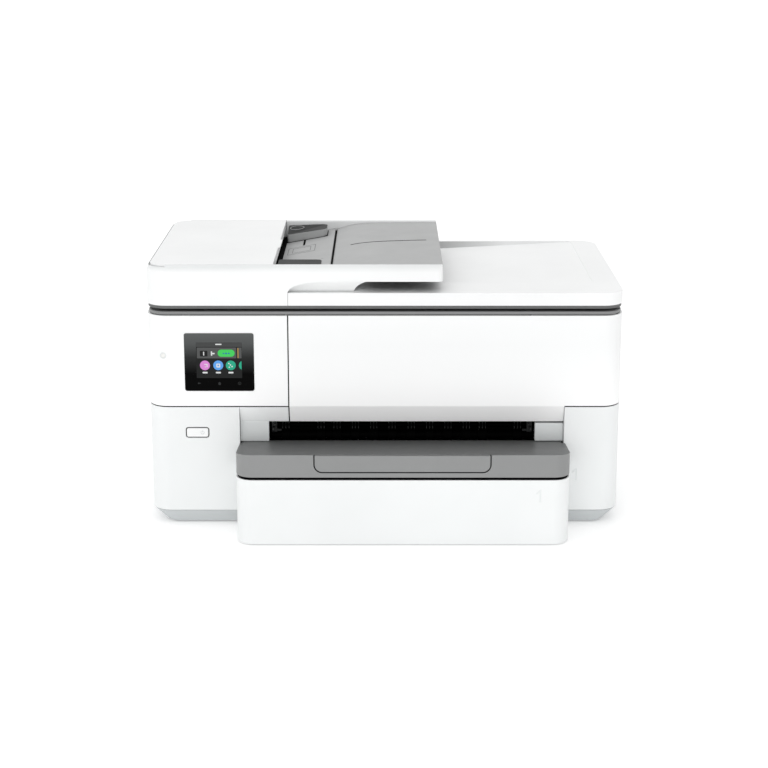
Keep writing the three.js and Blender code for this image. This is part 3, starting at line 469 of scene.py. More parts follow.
# ---------------------------------------------------------------- mesh kit
def rounded(corners, steps=6):
    """A closed outline with a fillet at each corner, from [a, b, radius] triples."""
    points = []
    count = len(corners)
    for i, (a, b, radius) in enumerate(corners):
        corner = Vector((a, b))
        if not radius:
            points.append(corner)
            continue
        before = (Vector(corners[i - 1][:2]) - corner).normalized()
        after = (Vector(corners[(i + 1) % count][:2]) - corner).normalized()
        half = before.angle(after) / 2
        centre = corner + (before + after).normalized() * (radius / math.sin(half))
        first = corner + before * (radius / math.tan(half)) - centre
        last = corner + after * (radius / math.tan(half)) - centre
        turn = math.atan2(first.x * last.y - first.y * last.x, first.dot(last))
        start = math.atan2(first.y, first.x)
        for k in range(steps + 1):
            angle = start + turn * k / steps
            points.append(centre + Vector((math.cos(angle), math.sin(angle))) * radius)
    return points


def rectangle(a0, a1, b0, b1, r=0.0, steps=6):
    """A rectangle's outline with one radius at its corners."""
    return rounded([(a0, b0, r), (a1, b0, r), (a1, b1, r), (a0, b1, r)], steps)


def circle(a, b, r, sides=32):
    """A round outline about a point."""
    turn = 2 * math.pi / sides
    return [Vector((a + r * math.cos(i * turn), b + r * math.sin(i * turn))) for i in range(sides)]


def lift(axis, point, level):
    """A point of an outline, placed at a level along the axis that it is pulled along."""
    if axis == "x":
        return (level, point[0], point[1])
    if axis == "y":
        return (point[0], level, point[1])
    return (point[0], point[1], level)


def prism(axis, points, low, high, paint=0):
    """A closed solid pulled along an axis from one outline."""
    count = len(points)
    verts = [lift(axis, p, low) for p in points] + [lift(axis, p, high) for p in points]
    faces = [list(range(count)), list(range(2 * count - 1, count - 1, -1))]
    for i in range(count):
        j = (i + 1) % count
        faces.append([i, j, count + j, count + i])
    return verts, faces, paint


def hoop(axis, outer, inner, low, high, paint=0):
    """A closed ring between two outlines with the same number of points."""
    count = len(outer)
    loops = [(outer, low), (outer, high), (inner, high), (inner, low)]
    verts = [lift(axis, p, level) for points, level in loops for p in points]
    faces = []
    for ring in range(4):
        following = (ring + 1) % 4
        for i in range(count):
            j = (i + 1) % count
            faces.append(
                [ring * count + i, ring * count + j, following * count + j, following * count + i]
            )
    return verts, faces, paint


def bar(x, y, z):
    """A box from its three spans."""
    return prism("z", [(x[0], y[0]), (x[1], y[0]), (x[1], y[1]), (x[0], y[1])], *z)


def tube(points, radius, sides=8):
    """A closed round bar along a line of points."""
    path = [Vector(p) for p in points]
    verts, faces = [], []
    for i, point in enumerate(path):
        ahead = path[min(i + 1, len(path) - 1)] - path[max(i - 1, 0)]
        side = ahead.cross(Vector((0, 0, 1)))
        if side.length < 1e-6:
            side = ahead.cross(Vector((0, 1, 0)))
        side.normalize()
        up = side.cross(ahead).normalized()
        for k in range(sides):
            angle = 2 * math.pi * k / sides
            verts.append(tuple(point + side * (radius * math.cos(angle)) + up * (radius * math.sin(angle))))
    for i in range(len(path) - 1):
        for k in range(sides):
            m = (k + 1) % sides
            faces.append([i * sides + k, i * sides + m, (i + 1) * sides + m, (i + 1) * sides + k])
    faces.append(list(range(sides)))
    last = (len(path) - 1) * sides
    faces.append([last + k for k in range(sides - 1, -1, -1)])
    return verts, faces, 0


def strip(axis, points, width, low, high):
    """A closed band beside an open line of points, as wide as given to the line's right."""
    line = [Vector(p) for p in points]
    inner = []
    for i, point in enumerate(line):
        ahead = (line[min(i + 1, len(line) - 1)] - line[max(i - 1, 0)]).normalized()
        inner.append(point + Vector((ahead.y, -ahead.x)) * width)
    count = len(line)
    loops = [(line, low), (line, high), (inner, high), (inner, low)]
    verts = [lift(axis, p, level) for run, level in loops for p in run]
    faces = [[0, count, 2 * count, 3 * count], [k * count + count - 1 for k in (3, 2, 1, 0)]]
    for ring in range(4):
        following = (ring + 1) % 4
        for i in range(count - 1):
            a, b = ring * count + i, following * count + i
            faces.append([a, a + 1, b + 1, b])
    return verts, faces, 0


def finished(name, bm, materials):
    """A smooth-shaded object from a mesh under construction."""
    bmesh.ops.recalc_face_normals(bm, faces=bm.faces)
    mesh = bpy.data.meshes.new(name)
    bm.to_mesh(mesh)
    bm.free()
    for material in materials:
        mesh.materials.append(material)
    for polygon in mesh.polygons:
        polygon.use_smooth = True
    made = bpy.data.objects.new(name, mesh)
    SCENE.collection.objects.link(made)
    return made


def piece(name, body, materials, shapes, edge=0.0):
    """One object from closed shapes in millimetres, riding on a CAD body."""
    bm = bmesh.new()
    for verts, faces, paint in shapes:
        points = [bm.verts.new([c * MM for c in v]) for v in verts]
        for face in faces:
            bm.faces.new([points[i] for i in face]).material_index = paint
    made = finished(name, bm, materials if isinstance(materials, list) else [materials])
    if edge:
        bevel = made.modifiers.new("edge", "BEVEL")
        bevel.width = edge * MM
        bevel.segments = 2
        bevel.limit_method = "ANGLE"
        bevel.angle_limit = math.radians(USUAL_TURN)
        shade = made.modifiers.new("shade", "WEIGHTED_NORMAL")
        shade.weight = 90
    else:
        split = made.modifiers.new("sharp", "EDGE_SPLIT")
        split.split_angle = math.radians(40)
    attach(made, body)


def span(node, axis):
    """A CAD node's lowest and highest value along an axis, in millimetres."""
    low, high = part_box(node)
    index = "xyz".index(axis)
    return low[index] / MM, high[index] / MM


# ---------------------------------------------------------------- touchscreen
def touchscreen():
    """The menu shown on the display, in generic shapes, and the keys below it."""
    left, right = span("lcd_module", "x")
    bottom, top = span("lcd_module", "z")
    front = span("panel_glass", "y")[0]
    level = {"ground": 0.05, "card": 0.09, "tile": 0.13, "mark": 0.17}

    def flat(points, depth, paint):
        return prism("y", points, front - depth, front + 0.02, paint)

    def block(u0, u1, v0, v1, r, depth, paint, steps=5):
        return flat(rectangle(left + u0, left + u1, top - v1, top - v0, r, steps), level[depth], paint)

    def disc(u, v, r, depth, paint, sides=32):
        return flat(circle(left + u, top - v, r, sides), level[depth], paint)

    paints = [
        lit("lcd_ground", "222323", "272828"),
        lit("lcd_bar", "474848", "4c4d4d"),
        lit("lcd_card", "555656", "5a5b5b"),
        lit("lcd_tile", "232424", "282929"),
        lit("lcd_pill", "45c95d", "4fd467"),
        lit("lcd_pink", "d583cf", "de90d9"),
        lit("lcd_blue", "5b9ee6", "69aaf0"),
        lit("lcd_green", "2ca583", "39b18f"),
        lit("lcd_mark", "d8dada", "e4e6e6"),
        lit("lcd_amber", "b98d43", "c59a52"),
        lit("lcd_key", "303232", "383a3a"),
        lit("lcd_ink", "2f63a8", "3a70b4"),
    ]
    ground, banner, card, tile, pill, pink, blue, green, mark, amber, key, ink = range(len(paints))
    wide, tall = right - left, top - bottom
    shapes = [
        block(0, wide, 0, tall, 0.4, "ground", ground),
        block(0.2, wide - 0.2, 0.2, 5.4, 0.3, "card", banner),
        block(23.6, 31.3, 1.4, 2.9, 0.6, "mark", mark),
        block(0.9, 49.0, 6.2, 19.8, 0.8, "card", card),
        block(50.3, wide - 0.3, 6.2, 19.8, 0.5, "card", card),
        block(50.6, 51.7, 6.9, 19.4, 0.3, "mark", amber),
        block(4.6, 13.8, 10.2, 17.4, 0.8, "tile", tile),
        block(8.6, 9.8, 11.4, 16.2, 0.3, "mark", mark),
        block(18.0, 19.6, 10.9, 16.5, 0.5, "mark", mark),
        block(18.0, 22.6, 12.9, 14.6, 0.5, "mark", mark),
        block(26.3, 47.0, 8.8, 17.8, 4.4, "tile", pill, 8),
        block(32.3, 34.6, 13.0, 14.2, 0.4, "mark", ink),
        block(35.6, 37.6, 12.6, 14.6, 0.6, "mark", ink),
        block(38.6, 41.0, 12.8, 14.4, 0.7, "mark", ink),
    ]
    row, radius = 28.7, 6.1
    for u, paint in ((10.4, pink), (26.7, blue), (42.0, green)):
        shapes.append(disc(u, row, radius, "tile", paint))
        shapes.append(block(u - 3.1, u + 3.1, 36.9, 38.9, 0.8, "mark", mark))
    shapes += [
        block(9.6, 13.4, 26.9, 28.0, 0.4, "mark", mark),
        block(12.4, 13.6, 26.9, 31.0, 0.4, "mark", mark),
        block(10.2, 11.6, 30.2, 31.2, 0.3, "mark", mark),
        block(24.4, 29.0, 26.6, 31.3, 0.7, "card", blue),
    ]
    page = rectangle(left + 24.3, left + 29.1, top - 31.4, top - 26.5, 0.7, 5)
    window = rectangle(left + 25.6, left + 27.8, top - 29.9, top - 27.7, 0.5, 5)
    shapes.append(hoop("y", page, window, front - level["mark"], front - 0.1, mark))
    for u, v in ((39.7, 26.3), (41.6, 28.2), (43.6, 30.2), (40.2, 31.0)):
        shapes.append(disc(u, v, 0.85, "mark", mark, 14))

    # a fourth disc, cut off by the display's right edge
    cut = left + wide - 0.5
    turns = [math.radians(120 + 12 * k) for k in range(11)]
    arc = [(left + 58.0 + radius * math.cos(a), top - row + radius * math.sin(a)) for a in turns]
    part = [(cut, top - row + 5.2), *arc, (cut, top - row - 5.2)]
    shapes.append(flat(part, level["tile"], green))

    # touch keys printed under the glass: back, home, help
    base = bottom - 7.2
    third = wide / 3
    back, home, aid = left + third * 0.16, left + wide * 0.5, right - third * 0.18
    outlines = [
        [(back - 2.0, base + 0.5), (back - 0.2, base + 2.0), (back - 0.2, base - 1.0)],
        rectangle(back - 0.3, back + 1.7, base + 0.1, base + 0.9, 0.2, 5),
        [(home - 2.0, base + 0.3), (home + 2.0, base + 0.3), (home, base + 2.1)],
        rectangle(home - 1.3, home + 1.3, base - 1.6, base + 0.2, 0.2, 5),
        circle(aid, base + 0.4, 0.5, 12),
    ]
    shapes += [flat(outline, level["tile"], key) for outline in outlines]
    ring = [circle(aid, base + 0.4, r, 24) for r in (1.9, 1.4)]
    shapes.append(hoop("y", *ring, front - level["tile"], front - 0.02, key))
    piece("touchscreen_menu", "chassis", paints, shapes)

    low, high = span("panel_glass", "x"), span("panel_glass", "z")
    outer = rectangle(low[0] - 0.9, low[1] + 0.9, high[0] - 0.9, high[1] + 0.9, 3.9, 8)
    inner = rectangle(low[0] + 0.05, low[1] - 0.05, high[0] + 0.05, high[1] - 0.05, 2.95, 8)
    rim = hoop("y", outer, inner, front - 0.35, front + 0.6)
    piece("touchscreen_rim", "chassis", WHITE, [rim], 0.15)


touchscreen()


# ---------------------------------------------------------------- soft parts
def lid_foam():
    """The white pad that presses a sheet on the glass: foam with a rolled edge and a welded border."""
    low, high = (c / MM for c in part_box("lid_pad"))
    centre, half = (low + high) / 2, (high - low) / 2
    thick, roll = half.z, 2.2
    crowding = 0.55  # below 1, so that the rows lie closer together towards the edges
    weld_inset, weld_width, weld_depth = 7, 1.2, 0.35
    waist, waist_reach = 0.6, 8  # how far the middle of each side is drawn in
    steps_x, steps_y = 60, 44
    bm = bmesh.new()

    def spot(i, j, side):
        """A point of the lower (-1) or upper (1) skin, drawn in and rounded at the edge."""
        u, v = 2 * i / steps_x - 1, 2 * j / steps_y - 1
        u = math.copysign(abs(u) ** crowding, u) if u else 0.0
        v = math.copysign(abs(v) ** crowding, v) if v else 0.0
        x, y = u * half.x, v * half.y
        margin = min(half.x - abs(x), half.y - abs(y))
        swell = math.sqrt(max(0.0, 1 - (1 - min(margin / roll, 1)) ** 2))
        weld = weld_depth * math.exp(-(((margin - weld_inset) / weld_width) ** 2))
        crown = 0.1 * (u * u + v * v)
        if margin < waist_reach:
            pull = waist * (1 - margin / waist_reach)
            if margin == half.y - abs(y):
                y -= math.copysign(pull * (1 - abs(u) ** 3), y)
            else:
                x -= math.copysign(pull * (1 - abs(v) ** 3), x)
        z = side * thick * swell
        if side < 0:
            z += (weld + crown) * swell
        return bm.verts.new(((centre.x + x) * MM, (centre.y + y) * MM, (centre.z + z) * MM))

    skins = {}
    for side in (-1, 1):
        for i in range(steps_x + 1):
            for j in range(steps_y + 1):
                rim = i in (0, steps_x) or j in (0, steps_y)
                if rim and side > 0:
                    skins[side, i, j] = skins[-1, i, j]
                else:
                    skins[side, i, j] = spot(i, j, side)
    for side in (-1, 1):
        for i in range(steps_x):
            for j in range(steps_y):
                loop = [skins[side, i + a, j + b] for a, b in ((0, 0), (1, 0), (1, 1), (0, 1))]
                bm.faces.new(loop if side > 0 else loop[::-1])
    pad = finished("lid_foam", bm, [FOAM])
    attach(pad, "lid")
    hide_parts("lid_pad")


lid_foam()


# ---------------------------------------------------------------- small parts, painted shadows and marks
DECK_FOOT = (-128, 309.4)  # x and z of the feeder deck's low end
DECK_SLOPE = 0.183


def deck(x):
    """The height of the feeder deck's upper face."""
    return DECK_FOOT[1] + (x - DECK_FOOT[0]) * DECK_SLOPE


def on_deck(x0, x1, rise, below=0.05):
    """The outline of a thin layer on the deck, seen from the front."""
    return [(x0, deck(x0) - below), (x1, deck(x1) - below), (x1, deck(x1) + rise), (x0, deck(x0) + rise)]


def deck_details():
    """Painted shadows as dark sheets in the feeder's throat and under its shelf, and the marks on its deck.
    """
    left, right = span("adf_deck", "x")
    low, high = span("adf_deck", "y")
    front, back = low + 0.3, high - 0.3
    # painted shadow: a black sheet on the deck in the feeder's throat, where the cover shades it
    throat_shadow = prism("y", on_deck(left + 1, -131.6, 0.35), front, back)
    piece("throat_painted_shadow", "lid", BLACK_AND_SHADOW, [throat_shadow], 0.1)

    shelf = span("lid_panel", "z")[1] + 13.9  # the underside of the feeder's shelf
    # painted shade: a black ribbed plate under the feeder's shelf, darkening the hollow beneath it
    plate = bar((-33, 66), (front + 4, back - 3), (shelf - 0.9, shelf))
    across, hang = (front + 5, back - 5), (shelf - 2.4, shelf - 0.8)
    ribs = [bar((x, x + 1.2), across, hang) for x in range(-25, 64, 12)]
    piece("shelf_painted_shade", "lid", BLACK_AND_SHADOW, [plate, *ribs], 0.15)

    # the paper size scale: raised outlines on the deck
    icon = []
    for u0, u1, v0, v1 in ((-127, -91, 30, 72), (-121, -97, 37, 65)):
        outer = rectangle(u0, u1, v0, v1, 2.2, 4)
        inner = rectangle(u0 + 0.8, u1 - 0.8, v0 + 0.8, v1 - 0.8, 1.6, 4)
        verts, faces, paint = hoop("z", outer, inner, -0.05, 0.15)
        icon.append(([(x, y, z + deck(x)) for x, y, z in verts], faces, paint))
    piece("deck_icon", "lid", DARK, icon)

    # the dark slot that the rear guide slides along, and the gap between deck and feeder tray
    rack = prism("y", on_deck(-110.4, -106.1, -0.4, 1.2), 78.3, 139.5)
    seam = bar((right + 0.15, right + 2.2), (front, back), (311.8, 317.5))
    piece("deck_shadows", "lid", BLACK_AND_SHADOW, [rack, seam])

    # a thin curved line moulded in the deck
    ridge = []
    for k in range(15):
        t = k / 14
        x = -118 + 40 * t
        ridge.append((x, -52 + 22 * t * t, deck(x) - 0.2))
    piece("deck_ridge", "lid", DARK, [tube(ridge, 0.35)])


def tray_crease_shade():
    """Painted shade: a dark line sunk in the feeder tray's groove."""
    back = span("feeder_tray", "y")[1]
    tops = {}
    for vertex in NODES["feeder_tray"].data.vertices:
        x, y, z = vertex.co / MM
        if abs(y - back) < 2:
            place = round(x, 2)
            tops[place] = max(round(z, 2), tops.get(place, 0))
    levels = [(x, z) for x, z in sorted(tops.items()) if z > 320]

    def tray_top(x):
        for (x0, z0), (x1, z1) in zip(levels, levels[1:]):
            if x0 <= x <= x1:
                return z0 + (z1 - z0) * (x - x0) / (x1 - x0)
        return levels[-1][1]

    def bend(t, first, middle, last):
        """A quadratic curve's value between its ends."""
        return (1 - t) ** 2 * first + 2 * t * (1 - t) * middle + t * t * last

    crease = []
    for k in range(25):
        x, y = bend(k / 24, -44.2, 0, 53.5), bend(k / 24, 20, 35, 37)
        crease.append((x, y, tray_top(x) - 0.55))
    piece("tray_crease_shade", "feeder_tray", TRIM_AND_SHADOW, [tube(crease, 0.95)])


def guide_details():
    """Painted shadows as dark sheets under the paper guides, and a ring for the thumb on the rear one."""
    for name, (y0, y1) in (("adf_guide_front", (-111, -69)), ("adf_guide_rear", (114, 152))):
        # painted shadow under each guide
        contact_shadow = prism("y", on_deck(-131.4, -76.8, 0.38, -0.18), y0, y1)
        piece(name + "_contact_shadow", name, BLACK_AND_SHADOW, [contact_shadow])

    left, wide, front, deep = -131, 53, 115, 36
    front_left, back_left, right = 320.1, 326.4, 328.4  # heights of the rear guide's corners

    def guide_top(x, y):
        along = (x - left) / wide
        fore = front_left + (right - front_left) * along
        rear = back_left + (right - back_left) * along
        return fore + (rear - fore) * (y - front) / deep

    verts, faces, paint = hoop("z", circle(0, 0, 1, 40), circle(0, 0, 0.93, 40), 0, 0.35)
    oval = [(-119 + 9.5 * u, 139 + 8 * v, z) for u, v, z in verts]
    raised = [(x, y, guide_top(x, y) + z - 0.05) for x, y, z in oval]
    piece("guide_thumb_ring", "adf_guide_rear", FEEDER, [(raised, faces, paint)])


def tray_details():
    """A painted shadow as a dark sheet between the trays, the raised tray numerals and the feet's rubber
    sleeves.
    """
    low, high = (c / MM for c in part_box("input_tray_front"))
    inset, deep = 1.6, 38
    corners = [
        (low.x + inset, low.y + inset, 18.4),
        (high.x - inset, low.y + inset, 18.4),
        (high.x - inset, low.y + deep, 3),
        (low.x + inset, low.y + deep, 3),
    ]
    shape = rounded(corners, 10)
    # painted shadow: a dark sheet on the input tray, seen in the gap under the output tray
    gap_shadow = prism("z", shape, high.z - 0.1, high.z + 0.5)
    piece("tray_gap_shadow", "input_tray", TRIM_AND_SHADOW, [gap_shadow], 0.1)

    outline = [(1, -7.7), (2.9, -7.7), (2.9, 7.7), (1.25, 7.7), (-2.9, 4.1), (-2.9, 2.2), (1, 4.7)]
    pillar = span("lower_right_cover", "y")[0]
    places = (("input_tray", 184.4, 62.8, low.y), ("chassis", 235.1, 64, pillar))
    for number, (body, x, z, y) in enumerate(places, 1):
        numeral = prism("y", [(x + u, z + v) for u, v in outline], y + 0.3, y + 0.52)
        piece(f"numeral_{number}", body, LIGHT, [numeral])

    feet = []
    for x in (-235, 235):
        for y in (-85, 165):
            outer, inner = circle(x, y, 9.5, 28), circle(x, y, 8.9, 28)
            feet.append(hoop("z", outer, inner, 0.15, 2.0))
    piece("foot_sleeves", "chassis", RUBBER, feet, 0.2)


def front_details():
    """The ring round the status light and the mark on the power button."""
    low, high = (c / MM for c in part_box("status_lens"))
    x, z, r = (low.x + high.x) / 2, (low.z + high.z) / 2, (high.x - low.x) / 2
    ring = hoop("y", circle(x, z, r + 1.4, 36), circle(x, z, r + 0.15, 36), low.y - 0.05, low.y + 0.6)
    piece("status_ring", "chassis", LIGHT, [ring], 0.12)

    low, high = (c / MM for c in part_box("power_button"))
    x, z = high.x - 7.0, (low.z + high.z) / 2
    radius, gap = 2.1, math.radians(38)
    turns = [math.pi / 2 + gap + k * (2 * math.pi - 2 * gap) / 20 for k in range(21)]
    arc = [(x + radius * math.cos(a), low.y, z + radius * math.sin(a)) for a in turns]
    stem = [(x, low.y, z + 0.4), (x, low.y, z + 2.6)]
    mark = [tube(path, 0.22, 6) for path in (arc, stem)]
    piece("power_mark", "power_button", SKIRT, mark)


def seam_details():
    """Painted shadows: dark strips inside the casing's joints, and round the power button and the output
    extension.
    """
    low, high = (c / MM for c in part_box("upper_left_housing"))
    left, front, back, top = low.x, low.y, high.y, high.z
    door, side = span("front_door", "x")
    mouth = span("lower_right_cover", "x")[0]
    seam_low, seam_high = span("lower_left_cover", "z")[1], low.z
    radius, depth, clear = 25, 0.9, 0.06

    # between the lower and the upper casing, round all but the paper's exit
    corners = [
        (mouth + 3, front + depth, 0),
        (side - depth, front + depth, radius - depth),
        (side - depth, back - depth, radius - depth),
        (left + depth, back - depth, radius - depth),
        (left + depth, front + depth, radius - depth),
        (high.x, front + depth, 0),
    ]
    rows = [strip("z", rounded(corners, 8), -1.2, seam_low + clear, seam_high - clear)]

    # between the upper left housing and the door, upright and then down the door's sloping lip
    edge = (high.x + clear, door - clear)
    rows.append(bar(edge, (front + depth, front + 2.4), (seam_high + 0.1, top)))
    slope = [(front + depth, 152.4), (front + 10.6, 130.4), (front + 12.2, 130.4), (front + 2.5, 152.4)]
    rows.append(prism("x", slope, *edge))

    # between the door and the upper right cover
    wrap = span("front_door", "y")[1]
    flank = (wrap + clear, span("upper_right_cover", "y")[0] - clear)
    rows.append(bar((side - 2.3, side - depth), flank, (seam_high + 0.1, top)))

    # behind the gap under the scanner bed, where the rear vents would show through
    rows.append(bar((side - 4.4, side - 2.8), (wrap + 4, back - 16), (top - 9, top + 0.5)))
    # painted shadow: black strips behind the casing's seams
    piece("casing_seam_shadows", "chassis", TRIM_AND_SHADOW, rows)

    # painted shadow: a dark ring behind the gap round the power button
    low, high = (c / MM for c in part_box("power_button"))
    outer = rectangle(low.x - 1.0, high.x + 1.0, low.z - 1.0, high.z + 1.0, 3.4, 6)
    inner = rectangle(low.x - 0.1, high.x + 0.1, low.z - 0.1, high.z + 0.1, 2.5, 6)
    ring = hoop("y", outer, inner, low.y + 1.3, low.y + 2.6)
    piece("button_gap_shadow", "chassis", DARK, [ring])

    # painted shadow: a black band behind the gap round the output extension
    low, high = (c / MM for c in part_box("output_extension"))
    x0, x1, z0 = low.x - 0.1, high.x + 0.1, low.z - 0.1
    path = rounded([(x0, high.z + 0.2, 0), (x0, z0, 9), (x1, z0, 9), (x1, high.z + 0.2, 0)], 8)
    extension_shadow = strip("y", path, 0.9, low.y + 0.9, low.y + 4.2)
    piece("extension_gap_shadow", "chassis", TRIM_AND_SHADOW, [extension_shadow])


def wheel_details():
    """Toothed discs of thin steel on the star-wheel shaft, and the drive parts at its ends."""
    low, high = (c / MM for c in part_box("star_wheel_shaft"))
    y, z = (low.y + high.y) / 2, (low.z + high.z) / 2
    teeth, tip, root = 12, 6.1, 4.9
    thick, pitch = 0.5, 3.9
    # groups of three wheels, in pairs about the paper's middle
    offsets = (12, 35, 58, 81, 101, 145)
    groups = [PAPER_MIDDLE + sign * offset for offset in offsets for sign in (-1, 1)]
    shapes = []
    for group in groups:
        for middle in (group - pitch, group, group + pitch):
            shape = []
            for k in range(teeth):
                a = 2 * math.pi * k / teeth
                b = a + math.pi / teeth
                shape.append((y + tip * math.cos(a), z + tip * math.sin(a)))
                shape.append((y + root * math.cos(b), z + root * math.sin(b)))
            shapes.append(prism("x", shape, middle - thick / 2, middle + thick / 2))
    piece("star_wheels", "star_wheel_shaft", BLACK, shapes)

    # the drive's gears and sensor flags at the two ends of the slot
    ends = []
    for x, sign in ((-141.2, 1), (183.6, -1)):
        depths = ((0, 6.5), (1, 3), (3.4, 5), (6, 12))  # from the slot's end towards its middle
        block, gear, pinion, flag = [sorted((x + first * sign, x + last * sign)) for first, last in depths]
        ends.append(bar(block, (-102, -98), (112, 125)))
        ends.append(prism("x", circle(-103, 116, 4.2, 20), *gear))
        ends.append(prism("x", circle(-103.5, 122, 2.8, 16), *pinion))
        ends.append(bar(flag, (-101, -99), (113, 115.5)))
    piece("slot_mechanism", "chassis", BLACK, ends, 0.3)


def rear_details():
    """Contacts and shells in the sockets, and a blank rating plate."""
    low, high = (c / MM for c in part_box("power_inlet"))
    x, z = (low.x + high.x) / 2, (low.z + high.z) / 2
    pins = [bar((x + dx - 1, x + dx + 1), (183, 195), (z - 2.5, z + 2.5)) for dx in (-5.5, 5.5)]
    piece("inlet_pins", "chassis", STEEL, pins, 0.3)

    ports = (-254, -236)
    rows = [port + 1.1 * k for port in ports for k in range(-4, 5)]
    contacts = [bar((x - 0.3, x + 0.3), (189.6, 197), (189, 189.4)) for x in rows]
    piece("port_contacts", "chassis", STEEL, contacts)

    back = span("rear_cover", "y")[1]
    plate = prism("y", rectangle(-150, -96, 30, 52, 2, 5), back - 0.1, back - 0.02)
    piece("rating_plate", "chassis", LIGHT, [plate])

    shells = []
    for x in ports:
        outer = rectangle(x - 6.9, x + 6.9, 180.7, 189.3, 0.8, 4)
        inner = rectangle(x - 6.2, x + 6.2, 181.4, 188.6, 0.5, 4)
        shells.append(hoop("y", outer, inner, 192, 200.8))
    piece("port_shells", "chassis", STEEL, shells)


def inner_details():
    """Parts seen with the lid, the door or the tray open."""
    # parts on the main board: their middle's y and z, then width, height and depth
    face = -282.4
    chips = [
        (-20, 190, 28, 28, 2.2),
        (30, 196, 20, 12, 1.8),
        (30, 172, 20, 12, 1.8),
        (70, 190, 16, 22, 6.5),
        (-25, 135, 18, 14, 1.6),
        (20, 128, 30, 9, 8.0),
        (70, 130, 12, 12, 10.0),
        (100, 150, 10, 30, 7.0),
    ]
    parts = []
    for y, z, wide, tall, deep in chips:
        sides = (y - wide / 2, y + wide / 2), (z - tall / 2, z + tall / 2)
        parts.append(bar((face - 0.05, face + deep), *sides))
    for z in (200, 112):
        for y in (110, 122):
            parts.append(prism("x", circle(y, z, 4.2, 24), face - 0.05, face + 9))
    piece("board_parts", "chassis", BLACK, parts, 0.35)

    # louvres in the power supply's lid
    low, high = (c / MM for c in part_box("power_supply"))
    louvres = []
    for k in range(9):
        y = low.y + 16 + k * 14
        outline = rectangle(low.x + 12, high.x - 12, y, y + 5, 2.3, 5)
        louvres.append(prism("z", outline, high.z - 0.05, high.z + 0.7))
    piece("supply_louvres", "chassis", TRIM_AND_SHADOW, louvres, 0.2)

    # a label on the top and the front of each cartridge
    tints = {"black": "1b1c1e", "cyan": "0f7fae", "magenta": "b02a6a", "yellow": "d9b112"}
    for name, tint in tints.items():
        low, high = (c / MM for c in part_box("cartridge_" + name))
        centre = (low.x + high.x) / 2
        label = moulded("label_" + name, tint, 0.35, 0.05)
        shapes = [
            prism("z", rectangle(centre - 7.5, centre + 7.5, -40, 2, 2, 5), high.z - 0.05, high.z + 0.3),
            prism("y", rectangle(centre - 5.5, centre + 5.5, 156, 182, 2, 5), low.y - 0.3, low.y + 0.05),
        ]
        piece("label_" + name, "carriage", label, shapes, 0.08)

    # low ribs on the input tray's floor
    low, high = (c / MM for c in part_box("input_tray_tub"))
    ribs = []
    for k in range(7):
        x0 = low.x + 40 + k * 52
        ribs.append(prism("z", rectangle(x0, x0 + 2.4, low.y + 45, high.y - 24, 1.1, 4), 8.75, 9.1))
    piece("tray_floor_ribs", "input_tray", DARK, ribs)

    # the strip that the carriage reads its place from
    rail = [bar((-236, 282), (65.2, 65.95), (188, 194))]
    piece("encoder_strip", "chassis", TRAY, rail)

    low, high = (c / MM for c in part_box("scan_bar"))
    middle = (low.x + high.x) / 2
    lens = [bar((middle - 2.5, middle + 2.5), (low.y + 4, high.y - 4), (high.z - 0.05, high.z + 0.25))]
    piece("scan_lens", "scan_bar", SKIRT, lens, 0.1)


deck_details()
tray_crease_shade()
guide_details()
tray_details()
front_details()
seam_details()
wheel_details()
rear_details()
inner_details()


# ---------------------------------------------------------------- studio
# strengths of the light from the surround, and what is taken off towards three sides
HORIZON = 1.03
OVERHEAD = 1.22
FRONT_LOSS = -0.34
LEFT_LOSS = -0.14
RIGHT_LOSS = -0.42


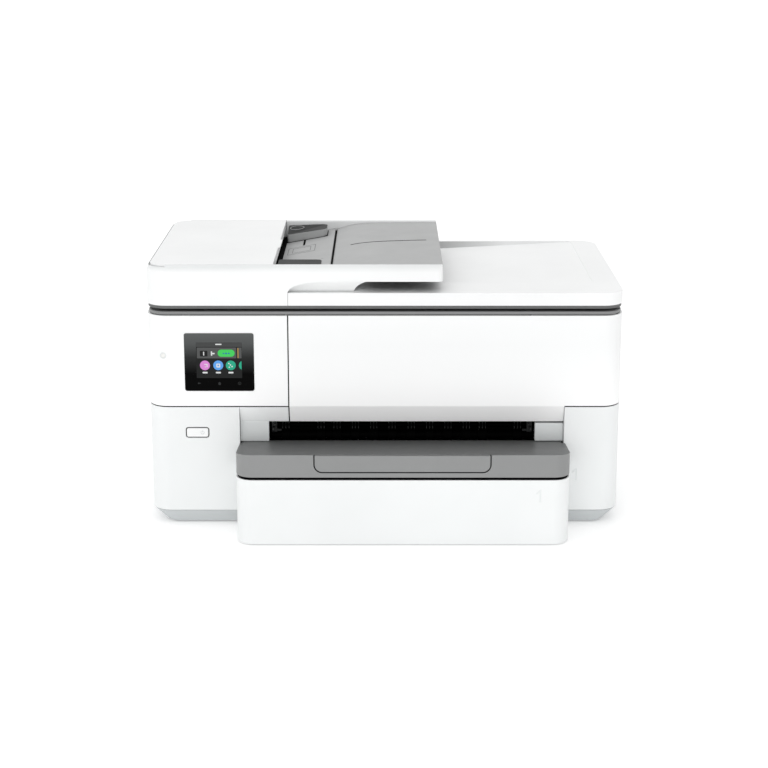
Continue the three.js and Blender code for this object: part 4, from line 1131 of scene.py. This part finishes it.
def studio():
    """A plain pale floor, a white surround and two large soft lamps in front."""
    world = bpy.data.worlds.new("studio")
    world.use_nodes = True
    backdrop = world.node_tree.nodes["Background"]
    add, link = world.node_tree.nodes.new, world.node_tree.links.new
    split = add("ShaderNodeSeparateXYZ")
    link(add("ShaderNodeTexCoord").outputs["Generated"], split.inputs["Vector"])
    levels = []
    falls = (
        ("Z", 0.15, 0.8, HORIZON, OVERHEAD),
        ("Y", 0.0, -1.0, 0.0, FRONT_LOSS),
        ("X", -0.1, -1.0, 0.0, LEFT_LOSS),
        ("X", 0.1, 1.0, 0.0, RIGHT_LOSS),
    )
    for axis, start, stop, low, high in falls:
        level = add("ShaderNodeMapRange")
        level.inputs["From Min"].default_value = start
        level.inputs["From Max"].default_value = stop
        level.inputs["To Min"].default_value = low
        level.inputs["To Max"].default_value = high
        link(split.outputs[axis], level.inputs["Value"])
        levels.append(level.outputs["Result"])
    total = levels[0]
    for level in levels[1:]:
        both = add("ShaderNodeMath")
        link(total, both.inputs[0])
        link(level, both.inputs[1])
        total = both.outputs["Value"]
    link(total, backdrop.inputs["Strength"])
    backdrop.inputs["Color"].default_value = (1, 1, 1, 1)
    SCENE.world = world

    reach = 12.0
    n = Nodes("studio_floor")
    n.colour(n.ramp(n.noise(0.6, 1), [(0.3, (0.955, 0.955, 0.955, 1)), (0.7, (0.97, 0.97, 0.97, 1))]))
    n.set(Roughness=0.9, Emission_Color=(1, 1, 1, 1), Emission_Strength=0.18)
    mesh = bpy.data.meshes.new("floor")
    corners = [(-reach, -reach, 0), (reach, -reach, 0), (reach, reach, 0), (-reach, reach, 0)]
    mesh.from_pydata(corners, [], [(0, 1, 2, 3)])
    mesh.materials.append(n.material)
    floor = bpy.data.objects.new("floor", mesh)
    SCENE.collection.objects.link(floor)

    lights = [
        ("key", (-0.65, -2.6, 0.3), 1.6, 8.8),
        ("fill", (0.8, -2.6, 0.3), 1.4, 3.6),
    ]
    for name, place, width, power in lights:
        data = bpy.data.lights.new(name, "AREA")
        data.shape = "RECTANGLE"
        data.size = width
        data.size_y = 0.6
        data.energy = power
        lamp = bpy.data.objects.new(name, data)
        lamp.location = place
        lamp.visible_camera = False
        aim = Vector((0, 0, 0.22)) - Vector(place)
        lamp.rotation_euler = aim.to_track_quat("-Z", "Y").to_euler()
        SCENE.collection.objects.link(lamp)


studio()
